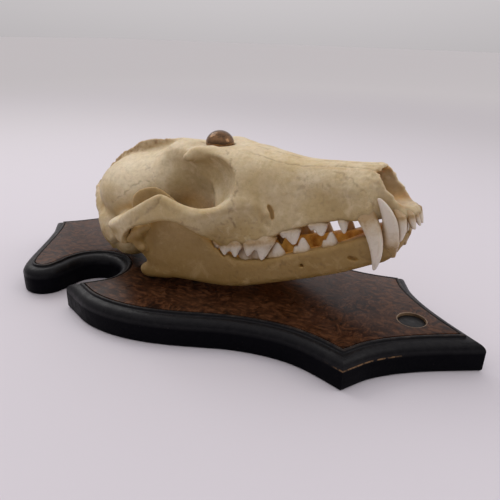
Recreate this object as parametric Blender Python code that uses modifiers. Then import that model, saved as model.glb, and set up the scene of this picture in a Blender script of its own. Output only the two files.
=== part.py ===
"""A fox skull with closed jaws, fixed on a shaped wooden plaque, life size.

The part's frame is in metres: +X runs toward the snout, +Y is the animal's left and +Z is up.
The origin is the middle of the plaque's underside. The bones are worked out in the skull's own
frame, in millimetres: x is 0 at the front of the upper jaw and runs negative toward the nape,
y is the distance from the mid plane and z is 0 at the gum line of the front teeth.
"""

import math

import bmesh
import bpy
import numpy as np
import openvdb
from mathutils import Matrix, Vector

# Driving dimensions of the plaque, in millimetres
BOARD_THICK = 12.5
VENEER_THICK = 0.9
MOULDING_WIDTH = 5.6
BEAD_WIDTH = 1.4
MOULDING_DROP = 4.6
BEAD_STEP = 1.0
TOUCH_GAP = 0.3

# Driving dimensions of the fixings, in millimetres
DOME_WIDTH = 11.6
DOME_HEIGHT = 5.8
NAIL_WIDTH = 2.6
NAIL_LENGTH = 9.0
PLUG_X = 83.6
PLUG_WIDTH = 10.4
PLUG_RECESS = 1.1
PLUG_DEPTH = 5.0

# How the skull sits on the plaque
SNOUT_RISE = math.radians(12.5)
SNOUT_X = 80.0
SNOUT_HEIGHT = BOARD_THICK + 41.6

# Driving dimensions of the skull, in millimetres
CRANIAL_HALF_WIDTH = 23.5
ARCH_HALF_WIDTH = 35.6
BULLA_DROP = 7.2
CREST_THICK = 1.7
CONDYLE_X = -101.8
CONDYLE_Z = 3.8
CONDYLE_RADIUS = 2.6
CONDYLE_END = 31.4
JAW_GAP = 0.55
HALF_GAP = 0.17
DOME_X = -77.5
DOME_SEAT_Z = 30.3

# Fineness of the bone surfaces
BONE_CELL = 0.7
FAR = 6.0
CRANIUM_FACES = 7600
MANDIBLE_FACES = 2500


def smooth_curve(*points):
    """A curve through hand-set points that rises and falls only where they do."""
    ordered = sorted(points)
    knots = np.array([p[0] for p in ordered], dtype=np.float32)
    values = np.array([p[1] for p in ordered], dtype=np.float32)
    spans = np.diff(knots)
    slopes = np.diff(values) / spans
    product = slopes[:-1] * slopes[1:]
    total = slopes[:-1] + slopes[1:]
    total = np.where(product > 0, total, 1.0)
    tangents = np.zeros_like(values)
    tangents[1:-1] = np.where(product > 0, 2 * product / total, 0.0)
    tangents[0] = slopes[0]
    tangents[-1] = slopes[-1]

    def value_at(x):
        held = np.clip(x, knots[0], knots[-1])
        index = np.clip(np.searchsorted(knots, held, side="right") - 1, 0, len(knots) - 2)
        span = spans[index]
        t = (held - knots[index]) / span
        start = values[index] * (1 + 2 * t) * (1 - t) ** 2
        end = values[index + 1] * t * t * (3 - 2 * t)
        bend = span * t * (1 - t) * (tangents[index] * (1 - t) - tangents[index + 1] * t)
        return start + end + bend

    return value_at


def rounded_loop(points, steps=5):
    """A closed smooth line through hand-set corners."""
    corners = [np.array(p, dtype=float) for p in points]
    count = len(corners)
    line = []
    for i in range(count):
        before, start, end, after = (corners[(i + k) % count] for k in (-1, 0, 1, 2))
        for step in range(steps):
            t = step / steps
            line.append(0.5 * (2 * start + (end - before) * t
                               + (2 * before - 5 * start + 4 * end - after) * t * t
                               + (3 * start - before - 3 * end + after) * t ** 3))
    return line


def blend_min(a, b, soft):
    """The union of two fields with a fillet."""
    if soft <= 0:
        return np.minimum(a, b)
    near = np.maximum(soft - np.abs(a - b), 0) / soft
    return np.minimum(a, b) - near * near * soft / 4


def blend_max(a, b, soft):
    """What two fields share, with its edge rounded."""
    return -blend_min(-a, -b, soft)


def loop_distance(loop, u, v):
    """Distance to a closed line in the plane, negative inside it."""
    nearest = FAR * FAR * 100 + 0 * (u + v)
    inside = nearest < 0
    for (au, av), (bu, bv) in zip(loop, loop[1:] + loop[:1]):
        du = bu - au
        dv = bv - av
        t = np.clip(((u - au) * du + (v - av) * dv) / (du * du + dv * dv), 0, 1)
        nearest = np.minimum(nearest, (u - au - t * du) ** 2 + (v - av - t * dv) ** 2)
        if dv != 0:
            inside = inside ^ (((av > v) != (bv > v)) & (u < du * (v - av) / dv + au))
    return np.where(inside, -1, 1) * np.sqrt(nearest)


def egg(centre, radii, lean=0.0):
    """An ellipsoid, turned by lean degrees in the side view."""
    c, s = math.cos(math.radians(lean)), math.sin(math.radians(lean))

    def shape(x, y, z):
        dx, dy, dz = x - centre[0], y - centre[1], z - centre[2]
        along = (dx * c + dz * s) / radii[0]
        across = dy / radii[1]
        up = (dz * c - dx * s) / radii[2]
        reach = np.sqrt(along ** 2 + across ** 2 + up ** 2) + 1e-6
        steep = np.sqrt((along / radii[0]) ** 2 + (across / radii[1]) ** 2
                        + (up / radii[2]) ** 2) + 1e-6
        return reach * (reach - 1) / steep

    return shape


def rod(points, radii):
    """A tapered round bar along a chain of points."""
    def shape(x, y, z):
        field = FAR * 9
        for start, end, r0, r1 in zip(points, points[1:], radii, radii[1:]):
            sx, sy, sz = start
            ex, ey, ez = (e - s for s, e in zip(start, end))
            t = ((x - sx) * ex + (y - sy) * ey + (z - sz) * ez) / (ex * ex + ey * ey + ez * ez)
            t = np.clip(t, 0, 1)
            gap = np.sqrt((x - sx - t * ex) ** 2 + (y - sy - t * ey) ** 2
                          + (z - sz - t * ez) ** 2)
            field = blend_min(field, gap - (r0 + (r1 - r0) * t), 0.8)
        return field

    return shape


def plate(loop, middle, thick, rounding=2.0, lean=None):
    """A bone plate: its side view is a loop, and it stands along y = middle(x), moved by lean."""
    def shape(x, y, z):
        edge = loop_distance(loop, x, z)
        slope = middle(x + 0.5) - middle(x - 0.5)
        aside = y - middle(x) - (lean(x, z) if lean else 0)
        across = np.abs(aside) / np.sqrt(1 + slope * slope) - thick(x, z) / 2
        return blend_max(edge, across, rounding)

    return shape


def tooth_point(base, tip, length, width, turn=0.0, bow=(0.0, 0.0), root=4.0, belly=0.72, tuck=0.0):
    """One cusp: an oval cone that bulges below its tip, with a narrowing root."""
    c, s = math.cos(math.radians(turn)), math.sin(math.radians(turn))
    rise = tip[2] - base[2]

    def shape(x, y, z):
        h = (z - base[2]) / rise
        held = np.clip(h, 0, 1)
        arc = 4 * held * (1 - held)
        dx = x - (base[0] + (tip[0] - base[0]) * held + bow[0] * arc)
        dy = y - (base[1] + (tip[1] - base[1]) * held + bow[1] * arc)
        taper = 0.93 * (1 - held) ** belly + 0.07
        depth = np.clip(-h * abs(rise), 0, root)
        dx = dx + depth * tuck
        dy = dy + depth * 0.3
        sink = 1 - 0.7 * depth / root
        half_length = length / 2 * taper * sink
        half_width = width / 2 * taper * sink
        along = (dx * c + dy * s) / half_length
        across = (dy * c - dx * s) / half_width
        side = (np.sqrt(along ** 2 + across ** 2) - 1) * np.minimum(half_length, half_width)
        ends = np.maximum((h - 1) * abs(rise), -h * abs(rise) - root)
        return blend_max(side, ends, 0.5)

    return shape


class Block:
    """A box of sample points with one field value each, negative inside the bone."""

    def __init__(self, low, high, cell):
        self.low = low
        self.cell = cell
        self.axes = [np.arange(a, b, cell, dtype=np.float32) for a, b in zip(low, high)]
        self.field = np.full([len(axis) for axis in self.axes], FAR, dtype=np.float32)

    def window(self, low, high):
        spans = []
        for axis, a, b in zip(self.axes, low, high):
            start = int(np.searchsorted(axis, a))
            spans.append(slice(start, max(int(np.searchsorted(axis, b)), start + 1)))
        return tuple(spans), np.ix_(*(axis[span] for axis, span in zip(self.axes, spans)))

    def whole(self):
        return [axis[0] for axis in self.axes], [axis[-1] + 1 for axis in self.axes]

    def join(self, shape, soft=0.0, low=None, high=None):
        if low is None:
            low, high = self.whole()
        spans, (x, y, z) = self.window(low, high)
        self.field[spans] = blend_min(self.field[spans], shape(x, y, z), soft)

    def cut(self, shape, soft=0.0, low=None, high=None):
        if low is None:
            low, high = self.whole()
        spans, (x, y, z) = self.window(low, high)
        self.field[spans] = blend_max(self.field[spans], -shape(x, y, z), soft)


# Curves of the face and braincase, along x
GUM = smooth_curve((0, -0.6), (-23, 0.2), (-35, -0.7), (-45, -2.6), (-54, -5.2), (-65, -6.2),
                   (-76, -5.6))
TOP_LINE = smooth_curve((0, 16.5), (-11, 17.2), (-16, 18.0), (-25, 19.3), (-38, 21.2), (-44, 22.7),
                        (-53, 25.7), (-58, 27.5), (-63, 28.8), (-69, 29.4), (-77, 30.0), (-85, 31.6),
                        (-93, 33.8), (-105, 34.2))
TOP_CROWN = smooth_curve((0, 0.016), (-11, 0.018), (-25, 0.028), (-40, 0.026), (-52, 0.016),
                         (-58, 0.015), (-63, 0.012), (-70, -0.004), (-77, -0.009), (-86, 0.006),
                         (-98, 0.03))
LOW_WIDTH = smooth_curve((0, 6.6), (-4, 8.2), (-7, 7.9), (-10, 8.0), (-12, 10.4), (-14, 12.6), (-19, 12.2),
                         (-26, 11.4), (-34, 12.6), (-44, 15.0), (-54, 18.4), (-63, 20.8), (-70, 21.0),
                         (-76, 18.0), (-82, 9.0), (-98, 9.0))
MID_WIDTH = smooth_curve((0, 6.4), (-4, 7.6), (-8, 7.9), (-11, 9.4), (-14.5, 11.6), (-20, 11.4), (-28, 10.6),
                         (-36, 11.2), (-46, 13.6), (-54, 16.6), (-59, 19.0), (-64, 21.0), (-71, 20.0),
                         (-78, 9.8), (-98, 9.6))
HIGH_WIDTH = smooth_curve((0, 6.4), (-8, 7.6), (-14, 8.3), (-28, 8.4), (-40, 9.2), (-52, 11.2), (-60, 13.0),
                          (-66, 13.8), (-74, 15.2), (-82, 15.6), (-88, 12.4), (-94, 10.6), (-100, 12.5))
FRONT_LINE = smooth_curve((-3, 0.2), (0, 0.5), (3, -1.4), (5, -2.8), (7.2, -6.0), (10.3, -8.7),
                          (14.8, -10.4), (17.4, -11.3), (22, -12.5))
FRONT_CURVE = smooth_curve((-3, 0.055), (0, 0.06), (3, 0.075), (5, 0.055), (7.5, 0.0))
PALATE_LINE = smooth_curve((-4, 1.6), (-14, 3.2), (-32, 3.4), (-50, 1.2), (-62, -1.0), (-76, -1.6),
                           (-79, 3.6), (-100, 2.4))
PALATE_WIDTH = smooth_curve((-3, 3.4), (-12, 6.0), (-20, 7.6), (-34, 8.6), (-46, 10.6), (-56, 12.6),
                            (-64, 12.8), (-76, 11.5))
ARCH_LINE = smooth_curve((-54, 14.4), (-58, 16.8), (-61, 19.0), (-64, 21.6), (-68, 25.4), (-72, 28.8),
                         (-77, 32.2), (-84, 34.3), (-92, ARCH_HALF_WIDTH - 0.2), (-100, ARCH_HALF_WIDTH),
                         (-106, 34.3), (-111, 31.6), (-115, 28.2), (-119, 24.0), (-122, 20.0))
ARCH_THICK = smooth_curve((-54, 5.0), (-64, 4.6), (-72, 3.8), (-84, 3.2), (-100, 3.0), (-108, 3.8),
                          (-114, 5.5), (-122, 8.0))
JAW_LINE = smooth_curve((-4, 3.2), (-12, 4.2), (-19, 5.8), (-25, 7.6), (-35, 9.9), (-45, 12.2), (-55, 14.6),
                        (-65, 17.2), (-75, 20.2), (-85, 23.0), (-95, 25.4), (-104, 26.8), (-112, 27.4))
JAW_THICK = smooth_curve((-4, 7.4), (-12, 10.2), (-18, 10.3), (-26, 7.4), (-35, 6.6), (-60, 6.8),
                         (-72, 6.0), (-82, 4.4), (-95, 3.6), (-112, 3.4))
CHIN_CURVE = 0.06
JAW_GUM = smooth_curve((-5, -7.6), (-10, -6.8), (-17, -6.0), (-23, -7.4), (-30, -8.9), (-38, -10.2),
                       (-46, -11.2), (-55, -12.2), (-64, -12.8), (-72, -11.4))

# The ridge round the nape: x, distance from the mid plane and z
NAPE_LINE = [(-151, 0, 17.5), (-149.5, 4, 17.0), (-145.5, 9, 14.6), (-140.5, 13.5, 10.6), (-135.5, 18, 5.6),
             (-131.5, 21, 1.2), (-129, 21.4, -3.0)]

# Side views of the plates: corners of closed smooth lines, x and z
ARCH_LOOP = rounded_loop([(-54, 8), (-60, 11.4), (-66, 10.4), (-72, 10.9), (-77.4, 14.2), (-81.5, 17.2),
                          (-84.4, 18.3), (-88.5, 17.2), (-96, 14.6), (-104, 11.6), (-112, 8.2), (-119, 6.6),
                          (-123, 4.5), (-120, 0.2), (-113.5, -1.4), (-108, -1.4), (-104.2, 0.6),
                          (-100.5, 4.6), (-95, 6.6), (-86, 8.0), (-80, 7.0), (-76.4, 3.6), (-73.8, -0.6),
                          (-71.2, -4.4), (-66, -5.8), (-59, -4), (-54, 1)])
CREST_LOOP = rounded_loop([(-88, 30.5), (-94, 33.8), (-101, 35.2), (-110, 36.2), (-117, 36.2), (-124, 34.4),
                           (-132, 31.9), (-140, 28.0), (-146, 23.6), (-150.2, 19.8), (-151.6, 17.0),
                           (-150.5, 14.6), (-144, 14), (-136, 18), (-124, 26), (-110, 30)])
JAW_LOOP = rounded_loop([(-3.6, -7.0), (-4.4, -9.2), (-7.6, -12.2), (-11.6, -15.0), (-16, -16.8), (-22, -18.4),
                         (-30, -20.2), (-40, -21.5), (-50, -22.5), (-60, -23.3), (-69, -23.4), (-78, -22.2),
                         (-87, -20.2), (-96, -18.6), (-102, -18.2), (-106, -17.9), (-108.6, -16.2),
                         (-109.2, -13.8), (-107.6, -12.2), (-105.6, -11.2), (-104.4, -9.2), (-105.2, -6),
                         (-107, -2.6), (-106.6, 1), (-104.6, 4.4), (-105, 8.2), (-107.2, 12.6),
                         (-105.6, 16.6), (-102, 19.2), (-97, 20.2), (-92.4, 19.4), (-87.4, 15), (-82, 8.0),
                         (-77.0, 0.6), (-73.6, -4.8), (-70.4, -8.8), (-64, -12.3), (-55, -12.3), (-46, -11.3),
                         (-38, -10.2), (-30, -8.9), (-23, -7.4), (-17, -6), (-10, -6.6)])


def face(x, y, z):
    """Snout, cheeks and forehead back to the waist behind the eyes."""
    top = TOP_LINE(x)
    gum = GUM(x)
    height = np.clip((z - gum) / (top - gum), 0, 1.1)
    low, mid, high = LOW_WIDTH(x), MID_WIDTH(x), HIGH_WIDTH(x)
    side = np.where(height < 0.5, low + (mid - low) * height * 2,
                    mid + (high - mid) * np.clip(height * 2 - 1, 0, 1.2) ** 1.4)
    over = z - (top - TOP_CROWN(x) * y * y)
    body = blend_max(y - side, over, 5.0)
    body = blend_max(body, gum - z, 1.5)
    body = blend_max(body, x + FRONT_CURVE(z) * y * y - FRONT_LINE(z), 0.8)
    return blend_max(body, -99.0 - x, 4.0)


def palate_hollow(x, y, z):
    """The arched roof of the mouth between the tooth rows."""
    return blend_max(y - PALATE_WIDTH(x), z - PALATE_LINE(x), 2.5)


def under_face(x, y, z):
    """The open space below the wall between the eye sockets, behind the palate."""
    return blend_max(x + 77.0, z - PALATE_LINE(x), 1.0)


def nose_hollow(x, y, z):
    """The nasal opening and the passage behind it."""
    half = smooth_curve((3, 5.9), (-6, 6.5), (-12, 6.9), (-24, 6.8), (-36, 5.0), (-44, 1.0))(x)
    roof = TOP_LINE(x) - 1.3 - TOP_CROWN(x) * y * y
    floor = smooth_curve((2, 2.4), (-3, 2.9), (-12, 4.4), (-26, 7.0), (-40, 11.0))(x)
    return blend_max(blend_max(y - half, z - roof, 3.0), blend_max(floor - z, -44.0 - x, 3.0), 4.0)


def build_cranium_field(cell):
    """The field of the cranium's bone, on the half with y above zero."""
    block = Block((-158, -cell, -22), (6, 42, 42), cell)
    block.join(face)
    block.cut(palate_hollow, 1.5, (-80, -1, -12), (-3, 20, 12))
    block.cut(under_face, 2.0, (-105, -1, -22), (-74, 42, 12))
    block.cut(egg((-74.6, 27.6, 19.6), (17.2, 16.6, 13.2), 10), 1.0)
    block.cut(egg((-85, 25.5, 8), (13, 14.0, 14)), 5.0)
    block.join(egg((-117.5, 0, 14.6), (26.2, CRANIAL_HALF_WIDTH, 16.8), -4), 5.0)
    block.join(egg((-101, 0, 17.5), (15, 14.5, 14.0)), 6.0)
    block.join(egg((-112, 0, 4), (34, 11, 6.2)), 5.0)
    brow = rod([(-74, 11, 28.6), (-80, 14.0, 29.2), (-84.0, 17.6, 28.4)], (2.2, 1.8, 1.0))
    block.join(brow, 2.5, (-96, 0, 20), (-60, 24, 36))
    block.join(plate(CREST_LOOP, mid_plane, even(CREST_THICK), 1.0), 2.4, (-156, -1, 8), (-84, 8, 40))
    nape = rod(NAPE_LINE, (1.7, 1.5, 1.4, 1.4, 1.5, 1.9, 2.0))
    block.join(nape, 3.0, (-158, -1, -10), (-118, 28, 26))
    occiput = egg((-139, 0, 7), (8.5, 15, 10), 12)
    block.join(occiput, 4.0)
    block.join(egg((-131, 15.5, 0), (8.0, 6.6, 9.5), 10), 3.0, (-146, 4, -14), (-118, 28, 14))
    condyle = rod([(-143.2, 4.0, -2.2), (-144.6, 7.8, 0.8), (-143.2, 10.2, 4.8)], (2.6, 4.0, 2.8))
    block.join(condyle, 1.5, (-154, -1, -10), (-132, 20, 14))
    block.cut(egg((-147, 0, 4.8), (15, 6.4, 5.2), 10), 1.0, (-160, -1, -6), (-128, 10, 14))
    spur = rod([(-139.5, 13, 3), (-137.2, 15, -3), (-135.4, 16.2, -8.6)], (3.2, 2.3, 1.2))
    block.join(spur, 2.0, (-146, 6, -14), (-128, 24, 10))
    bulla = egg((-125.5, 13.2, -6.0), (10.4, 7.4, BULLA_DROP))
    block.join(bulla, 1.0, (-142, 0, -18), (-108, 26, 8))
    block.join(rod([(-121, 16, -3.5), (-118.5, 20.5, -1.0)], (3.6, 3.0)), 1.5, (-130, 8, -12), (-110, 28, 8))
    block.cut(rod([(-118.2, 26, -0.6), (-120.2, 17.5, -2.4)], (2.3, 1.9)), 0.4, (-126, 12, -8), (-112, 30, 6))
    block.join(plate(ARCH_LOOP, ARCH_LINE, arch_thick, 2.4, arch_lean), 4.0, (-126, 8, -10), (-48, 40, 24))
    block.join(egg((-111, 25.5, 6.6), (8.5, 9.5, 2.8), 6), 3.0, (-124, 12, -4), (-96, 38, 16))
    block.join(egg((-110.4, 26.6, 1.6), (2.4, 6.4, 4.6), -8), 1.5, (-118, 16, -8), (-100, 36, 12))
    fossa = rod([(CONDYLE_X, 19.5, CONDYLE_Z), (CONDYLE_X - 0.6, CONDYLE_END, CONDYLE_Z)],
                (CONDYLE_RADIUS + JAW_GAP, CONDYLE_RADIUS + JAW_GAP))
    block.cut(fossa, 0.3, (-112, 14, -6), (-94, 42, 12))
    wing = plate(rounded_loop([(-70, 2), (-73, 5), (-86, 7), (-98, 6), (-102, 3), (-101, -3), (-99.5, -6.2),
                               (-97.5, -4.6), (-92, -3), (-84, -3), (-76, -5.4), (-70, -5)]),
                 smooth_curve((-68, 9.6), (-76, 7.8), (-86, 6.8), (-100, 7.6)), even(2.0), 1.4)
    block.join(wing, 1.6, (-106, 2, -10), (-66, 14, 10))
    block.cut(nose_hollow, 0.5, (-48, -1, 0), (6, 12, 24))
    block.join(rod([(-52.2, 14.6, 1.6), (-51.0, 15.9, 5), (-52.6, 14.8, 9)], (1.0, 1.1, 0.9)), 2.0,
               (-60, 8, -6), (-40, 24, 16))
    block.cut(egg((-50.0, 14.7, 5.0), (1.9, 1.1, 3.0), 8), 0.3, (-60, 8, -2), (-40, 22, 12))
    block.cut(dome_hole(DOME_WIDTH / 2 + TOUCH_GAP, TOUCH_GAP), 0.0, (-90, -1, 20), (-66, 10, 40))
    block.cut(dome_hole(NAIL_WIDTH / 2 + TOUCH_GAP, NAIL_LENGTH + 2 * TOUCH_GAP), 0.0,
              (-92, -1, 14), (-66, 6, 40))
    return block


def mid_plane(x):
    """The middle of a plate that stands between the two halves."""
    return np.zeros_like(x)


def even(thickness):
    """A plate's thickness where it is the same all over."""
    return lambda x, z: np.full_like(x, thickness)


def arch_thick(x, z):
    """The cheekbone is thin at its middle and stout at both roots."""
    return ARCH_THICK(x)


def dome_hole(radius, depth):
    """A round seat about the dome's upright axis, cut down to a depth below its underside."""
    def shape(x, y, z):
        return np.maximum(np.hypot(along_dome(x, z), y) - radius, dome_seat(x, z) - depth)

    return shape


def arch_lean(x, z):
    """The cheek leans in toward the gum below the eye socket."""
    share = np.clip((x + 80) / 8, 0, 1)
    return share * np.minimum(z - 9.0, 0) * 0.5


def along_dome(x, z):
    """Distance forward of the dome's axis, which stays upright over the tilted skull."""
    return (x - DOME_X) * math.cos(SNOUT_RISE) - (z - DOME_SEAT_Z) * math.sin(SNOUT_RISE)


def dome_seat(x, z):
    """Height below the dome's level underside, positive below it."""
    rise = (x - DOME_X) * math.sin(SNOUT_RISE) + (z - DOME_SEAT_Z) * math.cos(SNOUT_RISE)
    return -rise


def premolar(x, y, z, length, rise, back):
    """A tall cusp with a small one behind it; back is the small cusp's place and height."""
    away, aside, share = back
    width = 3.1
    return [tooth_point((x, y, z), (x + 0.5, y + 0.3, z + rise), length * 0.86, width, -14),
            tooth_point((x - length * away, y + aside, z), (x - length * 0.36, y + aside, z + rise * share),
                        length * 0.42, width - 0.3, -14)]


def upper_teeth():
    """Cusps of each upper tooth, from the front."""
    yield "incisor_1", [tooth_point((-1.3, 1.65, 0.4), (0.3, 1.65, -4.6), 2.7, 3.0, 0, (0, 0), 2.0, 0.5, 0.6)]
    yield "incisor_2", [tooth_point((-2.2, 4.9, 0.6), (-0.7, 5.2, -4.8), 3.5, 3.3, 25, (0, 0), 2.2, 0.5, 0.7)]
    yield "incisor_3", [tooth_point((-4.8, 7.5, 0.9), (-5.2, 8.4, -8.2), 4.8, 3.9, 40, (0.9, 0.4), 2.6, 0.55,
                                    0.8)]
    yield "canine", [tooth_point((-14.8, 10.8, 1.0), (-13.8, 12.4, -17.4), 7.0, 4.6, -8, (2.3, 1.2), 6.0, 0.62)]
    yield "premolar_1", [tooth_point((-23.8, 10.2, 0.0), (-23.8, 10.6, -4.6), 4.2, 2.6, -6)]
    yield "premolar_2", premolar(-32.9, 10.7, -0.8, 8.0, -4.6, (0.32, 0.9, 0.48))
    yield "premolar_3", premolar(-43.4, 13.1, -2.6, 8.8, -5.4, (0.32, 0.9, 0.48))
    yield "premolar_4", [tooth_point((-52.8, 16.2, -4.8), (-55.2, 17.8, -12.8), 8.6, 4.6, -20),
                         tooth_point((-58.4, 18.2, -5.4), (-60.2, 19.2, -10.8), 6.8, 4.2, -20),
                         tooth_point((-48.6, 12.2, -3.6), (-48.6, 12.6, -6.6), 3.6, 3.6)]
    yield "molar_1", [tooth_point((-64.8, 19.4, -5.0), (-65.2, 20.6, -10.8), 6.4, 4.6),
                      tooth_point((-69.4, 19.8, -5.0), (-69.8, 20.9, -10.0), 6.2, 4.4),
                      tooth_point((-66.8, 15.4, -4.4), (-66.8, 14.6, -7.8), 7.4, 7.0)]
    yield "molar_2", [tooth_point((-73.8, 19.3, -4.8), (-74.2, 20.3, -8.8), 5.4, 3.8),
                      tooth_point((-73.0, 15.8, -4.6), (-73.0, 15.4, -6.8), 4.6, 5.4)]


def lower_teeth():
    """Cusps of each lower tooth, which shut inside the upper ones."""
    yield "incisor_1", [tooth_point((-5.8, 1.4, -8.0), (-4.6, 1.3, -4.6), 2.4, 2.1)]
    yield "incisor_2", [tooth_point((-6.4, 3.7, -7.8), (-5.2, 3.7, -4.4), 2.6, 2.4)]
    yield "incisor_3", [tooth_point((-7.6, 5.9, -7.6), (-7.0, 6.0, -3.8), 2.8, 2.6, 20)]
    yield "canine", [tooth_point((-8.7, 8.6, -8.4), (-10.4, 10.5, 8.0), 7.4, 4.6, 12, (2.0, 0.3), 6.0, 0.52)]
    for name, x, length, rise in (("premolar_2", -29.7, 6.6, 5.4), ("premolar_3", -40.2, 7.2, 5.6),
                                  ("premolar_4", -50.2, 8.4, 5.6)):
        y, z = float(JAW_LINE(x)) + 0.6, float(JAW_GUM(x)) - 0.4
        yield name, premolar(x, y, z, length, rise, (0.34, 0.7, 0.45))
    yield "molar_1", [tooth_point((-57.6, 14.2, -12.8), (-58.4, 14.2, -5.6), 7.6, 4.8, -12),
                      tooth_point((-63.6, 15.4, -13.0), (-63.8, 15.4, -8.4), 8.0, 5.4, -14)]
    yield "molar_2", [tooth_point((-70.8, 17.2, -12.4), (-70.8, 17.2, -9.0), 6.0, 5.0, -14)]
    yield "molar_3", [tooth_point((-75.8, 18.6, -10.6), (-75.8, 18.6, -8.4), 3.2, 3.2)]


def set_teeth(block, teeth):
    """Fuse teeth into the bone that they grow from."""
    for _, cusps in teeth:
        for cusp in cusps:
            block.join(cusp, 0.35, (-82, -1, -20), (4, 30, 10))


def jaw_thickness(x, z):
    """The jaw thins toward the top of the coronoid blade."""
    return JAW_THICK(x) * (1 - 0.035 * np.clip(z + 2, 0, 16))


def build_mandible_field(cell):
    """The field of one mandible's bone, on the same half."""
    block = Block((-158, -cell, -22 - 6 * cell), (6, 42, 42), cell)
    block.join(plate(JAW_LOOP, JAW_LINE, jaw_thickness, 2.8))
    block.join(egg((-12.6, 6.2, -10.6), (6.6, 4.4, 4.8), 20), 2.5, (-24, -1, -22), (0, 16, 0))
    neck = rod([(CONDYLE_X + 0.6, 23.0, CONDYLE_Z - 0.2), (CONDYLE_X - 0.6, CONDYLE_END, CONDYLE_Z)],
               (CONDYLE_RADIUS - 0.4, CONDYLE_RADIUS))
    block.join(neck, 1.6, (-114, 16, -6), (-92, 40, 12))
    rear_edge = rod([(-104.6, 26.2, -8.0), (-104.8, 29.4, -3.0), (CONDYLE_X, CONDYLE_END, CONDYLE_Z - 1.2)],
                    (1.5, 1.7, 2.2))
    block.join(rear_edge, 3.0, (-114, 18, -14), (-92, 40, 12))
    heel = rod([(-97, 25.2, -16.4), (-106.8, 26.4, -15.0)], (2.0, 2.2))
    block.join(heel, 2.0, (-114, 18, -22), (-90, 34, -8))
    block.cut(egg((-89.0, 29.4, -1), (12.5, 3.2, 11.0), 20), 1.5, (-110, 22, -18), (-72, 40, 16))
    block.cut(egg((-21.6, 11.2, -13.6), (2.0, 1.8, 0.8), -12), 0.2, (-26, 6, -18), (-16, 16, -8))
    block.cut(egg((-40.6, 13.6, -15.8), (0.9, 1.6, 0.6)), 0.2, (-44, 9, -20), (-36, 18, -10))
    block.cut(before_chin, 0.8)
    return block


def before_chin(x, y, z):
    """The space in front of the rounded chin."""
    return -(x + 3.6 + CHIN_CURVE * y * y)


def across_middle(x, y, z):
    """The space beyond the plane where the two halves of the jaw meet."""
    return y - HALF_GAP


def below_rest(x, y, z):
    """The space below the level on which the jaw rests."""
    return x * math.sin(SNOUT_RISE) + z * math.cos(SNOUT_RISE) + rest_level()


def shut_jaw(block, cranium):
    """Trim a mandible at the mid plane, at the veneer and a small gap away from the cranium."""
    block.cut(across_middle, 1.0)
    rows = block.axes[2].searchsorted(cranium.axes[2][0] - block.cell / 2)
    depth = min(block.field.shape[2] - rows, cranium.field.shape[2])
    near = cranium.field[:, :, :depth] - JAW_GAP
    shared = block.field[:, :, rows:rows + depth]
    block.field[:, :, rows:rows + depth] = np.maximum(shared, -near)
    block.cut(below_rest)


def rest_level():
    """Height of the snout's origin above the lowest the bones may reach, just over the veneer."""
    return SNOUT_HEIGHT - BOARD_THICK - TOUCH_GAP


def field_mesh(name, block, mirrored):
    """Turn a block into a mesh object in the skull's frame, whole or as the half it holds."""
    field = block.field
    low = list(block.low)
    if mirrored:
        field = np.concatenate([field[:, :1:-1, :], field[:, 1:, :]], axis=1)
        low[1] = -block.cell * (block.field.shape[1] - 2)
    grid = openvdb.FloatGrid(FAR)
    grid.copyFromArray(np.clip(field, -FAR, FAR).astype(np.float64))
    points, triangles, quads = grid.convertToPolygons(isovalue=0.0, adaptivity=0.0)
    points = points * block.cell + np.array(low)
    mesh = bpy.data.meshes.new(name)
    mesh.from_pydata(points.tolist(), [], [f[::-1] for f in quads.tolist() + triangles.tolist()])
    obj = bpy.data.objects.new(name, mesh)
    bpy.context.scene.collection.objects.link(obj)
    return obj


def largest_shell(mesh):
    """Keep the largest closed surface of a mesh."""
    bm = bmesh.new()
    bm.from_mesh(mesh)
    unseen = set(bm.verts)
    shells = []
    while unseen:
        front = [unseen.pop()]
        shell = list(front)
        while front:
            vert = front.pop()
            for edge in vert.link_edges:
                other = edge.other_vert(vert)
                if other in unseen:
                    unseen.remove(other)
                    front.append(other)
                    shell.append(other)
        shells.append(shell)
    shells.sort(key=len, reverse=True)
    for shell in shells[1:]:
        bmesh.ops.delete(bm, geom=shell, context="VERTS")
    if sum(face.calc_area() * face.normal.dot(face.calc_center_median()) for face in bm.faces) < 0:
        bmesh.ops.reverse_faces(bm, faces=bm.faces)
    bm.to_mesh(mesh)
    bm.free()


def thin_out(obj, faces):
    """Reduce a dense surface to a set number of triangles."""
    largest_shell(obj.data)
    triangles = sum(len(p.vertices) - 2 for p in obj.data.polygons)
    reduce = obj.modifiers.new("Reduce", "DECIMATE")
    reduce.ratio = min(1.0, faces / triangles)
    reduce.use_collapse_triangulate = True
    graph = bpy.context.evaluated_depsgraph_get()
    mesh = bpy.data.meshes.new_from_object(obj.evaluated_get(graph))
    obj.modifiers.clear()
    obj.data = mesh
    return obj


def skull_to_part():
    """Matrix from the skull's frame in millimetres to the part's frame in metres."""
    place = Matrix.Translation(Vector((SNOUT_X, 0, SNOUT_HEIGHT)) / 1000)
    return place @ Matrix.Rotation(-SNOUT_RISE, 4, "Y") @ Matrix.Scale(0.001, 4)


def material(name, colour, roughness, metallic=0.0):
    made = bpy.data.materials.new(name)
    made.use_nodes = True
    shader = made.node_tree.nodes["Principled BSDF"]
    shader.inputs["Base Color"].default_value = (*colour, 1.0)
    shader.inputs["Roughness"].default_value = roughness
    shader.inputs["Metallic"].default_value = metallic
    return made


def finish(obj, name, look, collection):
    """Name a piece, give it its material and smooth shading, and file it."""
    obj.name = name
    obj.data.name = name
    obj.data.materials.clear()
    obj.data.materials.append(look)
    obj.data.shade_smooth()
    obj.data.set_sharp_from_angle(angle=math.radians(40))
    for owner in list(obj.users_collection):
        owner.objects.unlink(obj)
    collection.objects.link(obj)
    return obj


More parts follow.
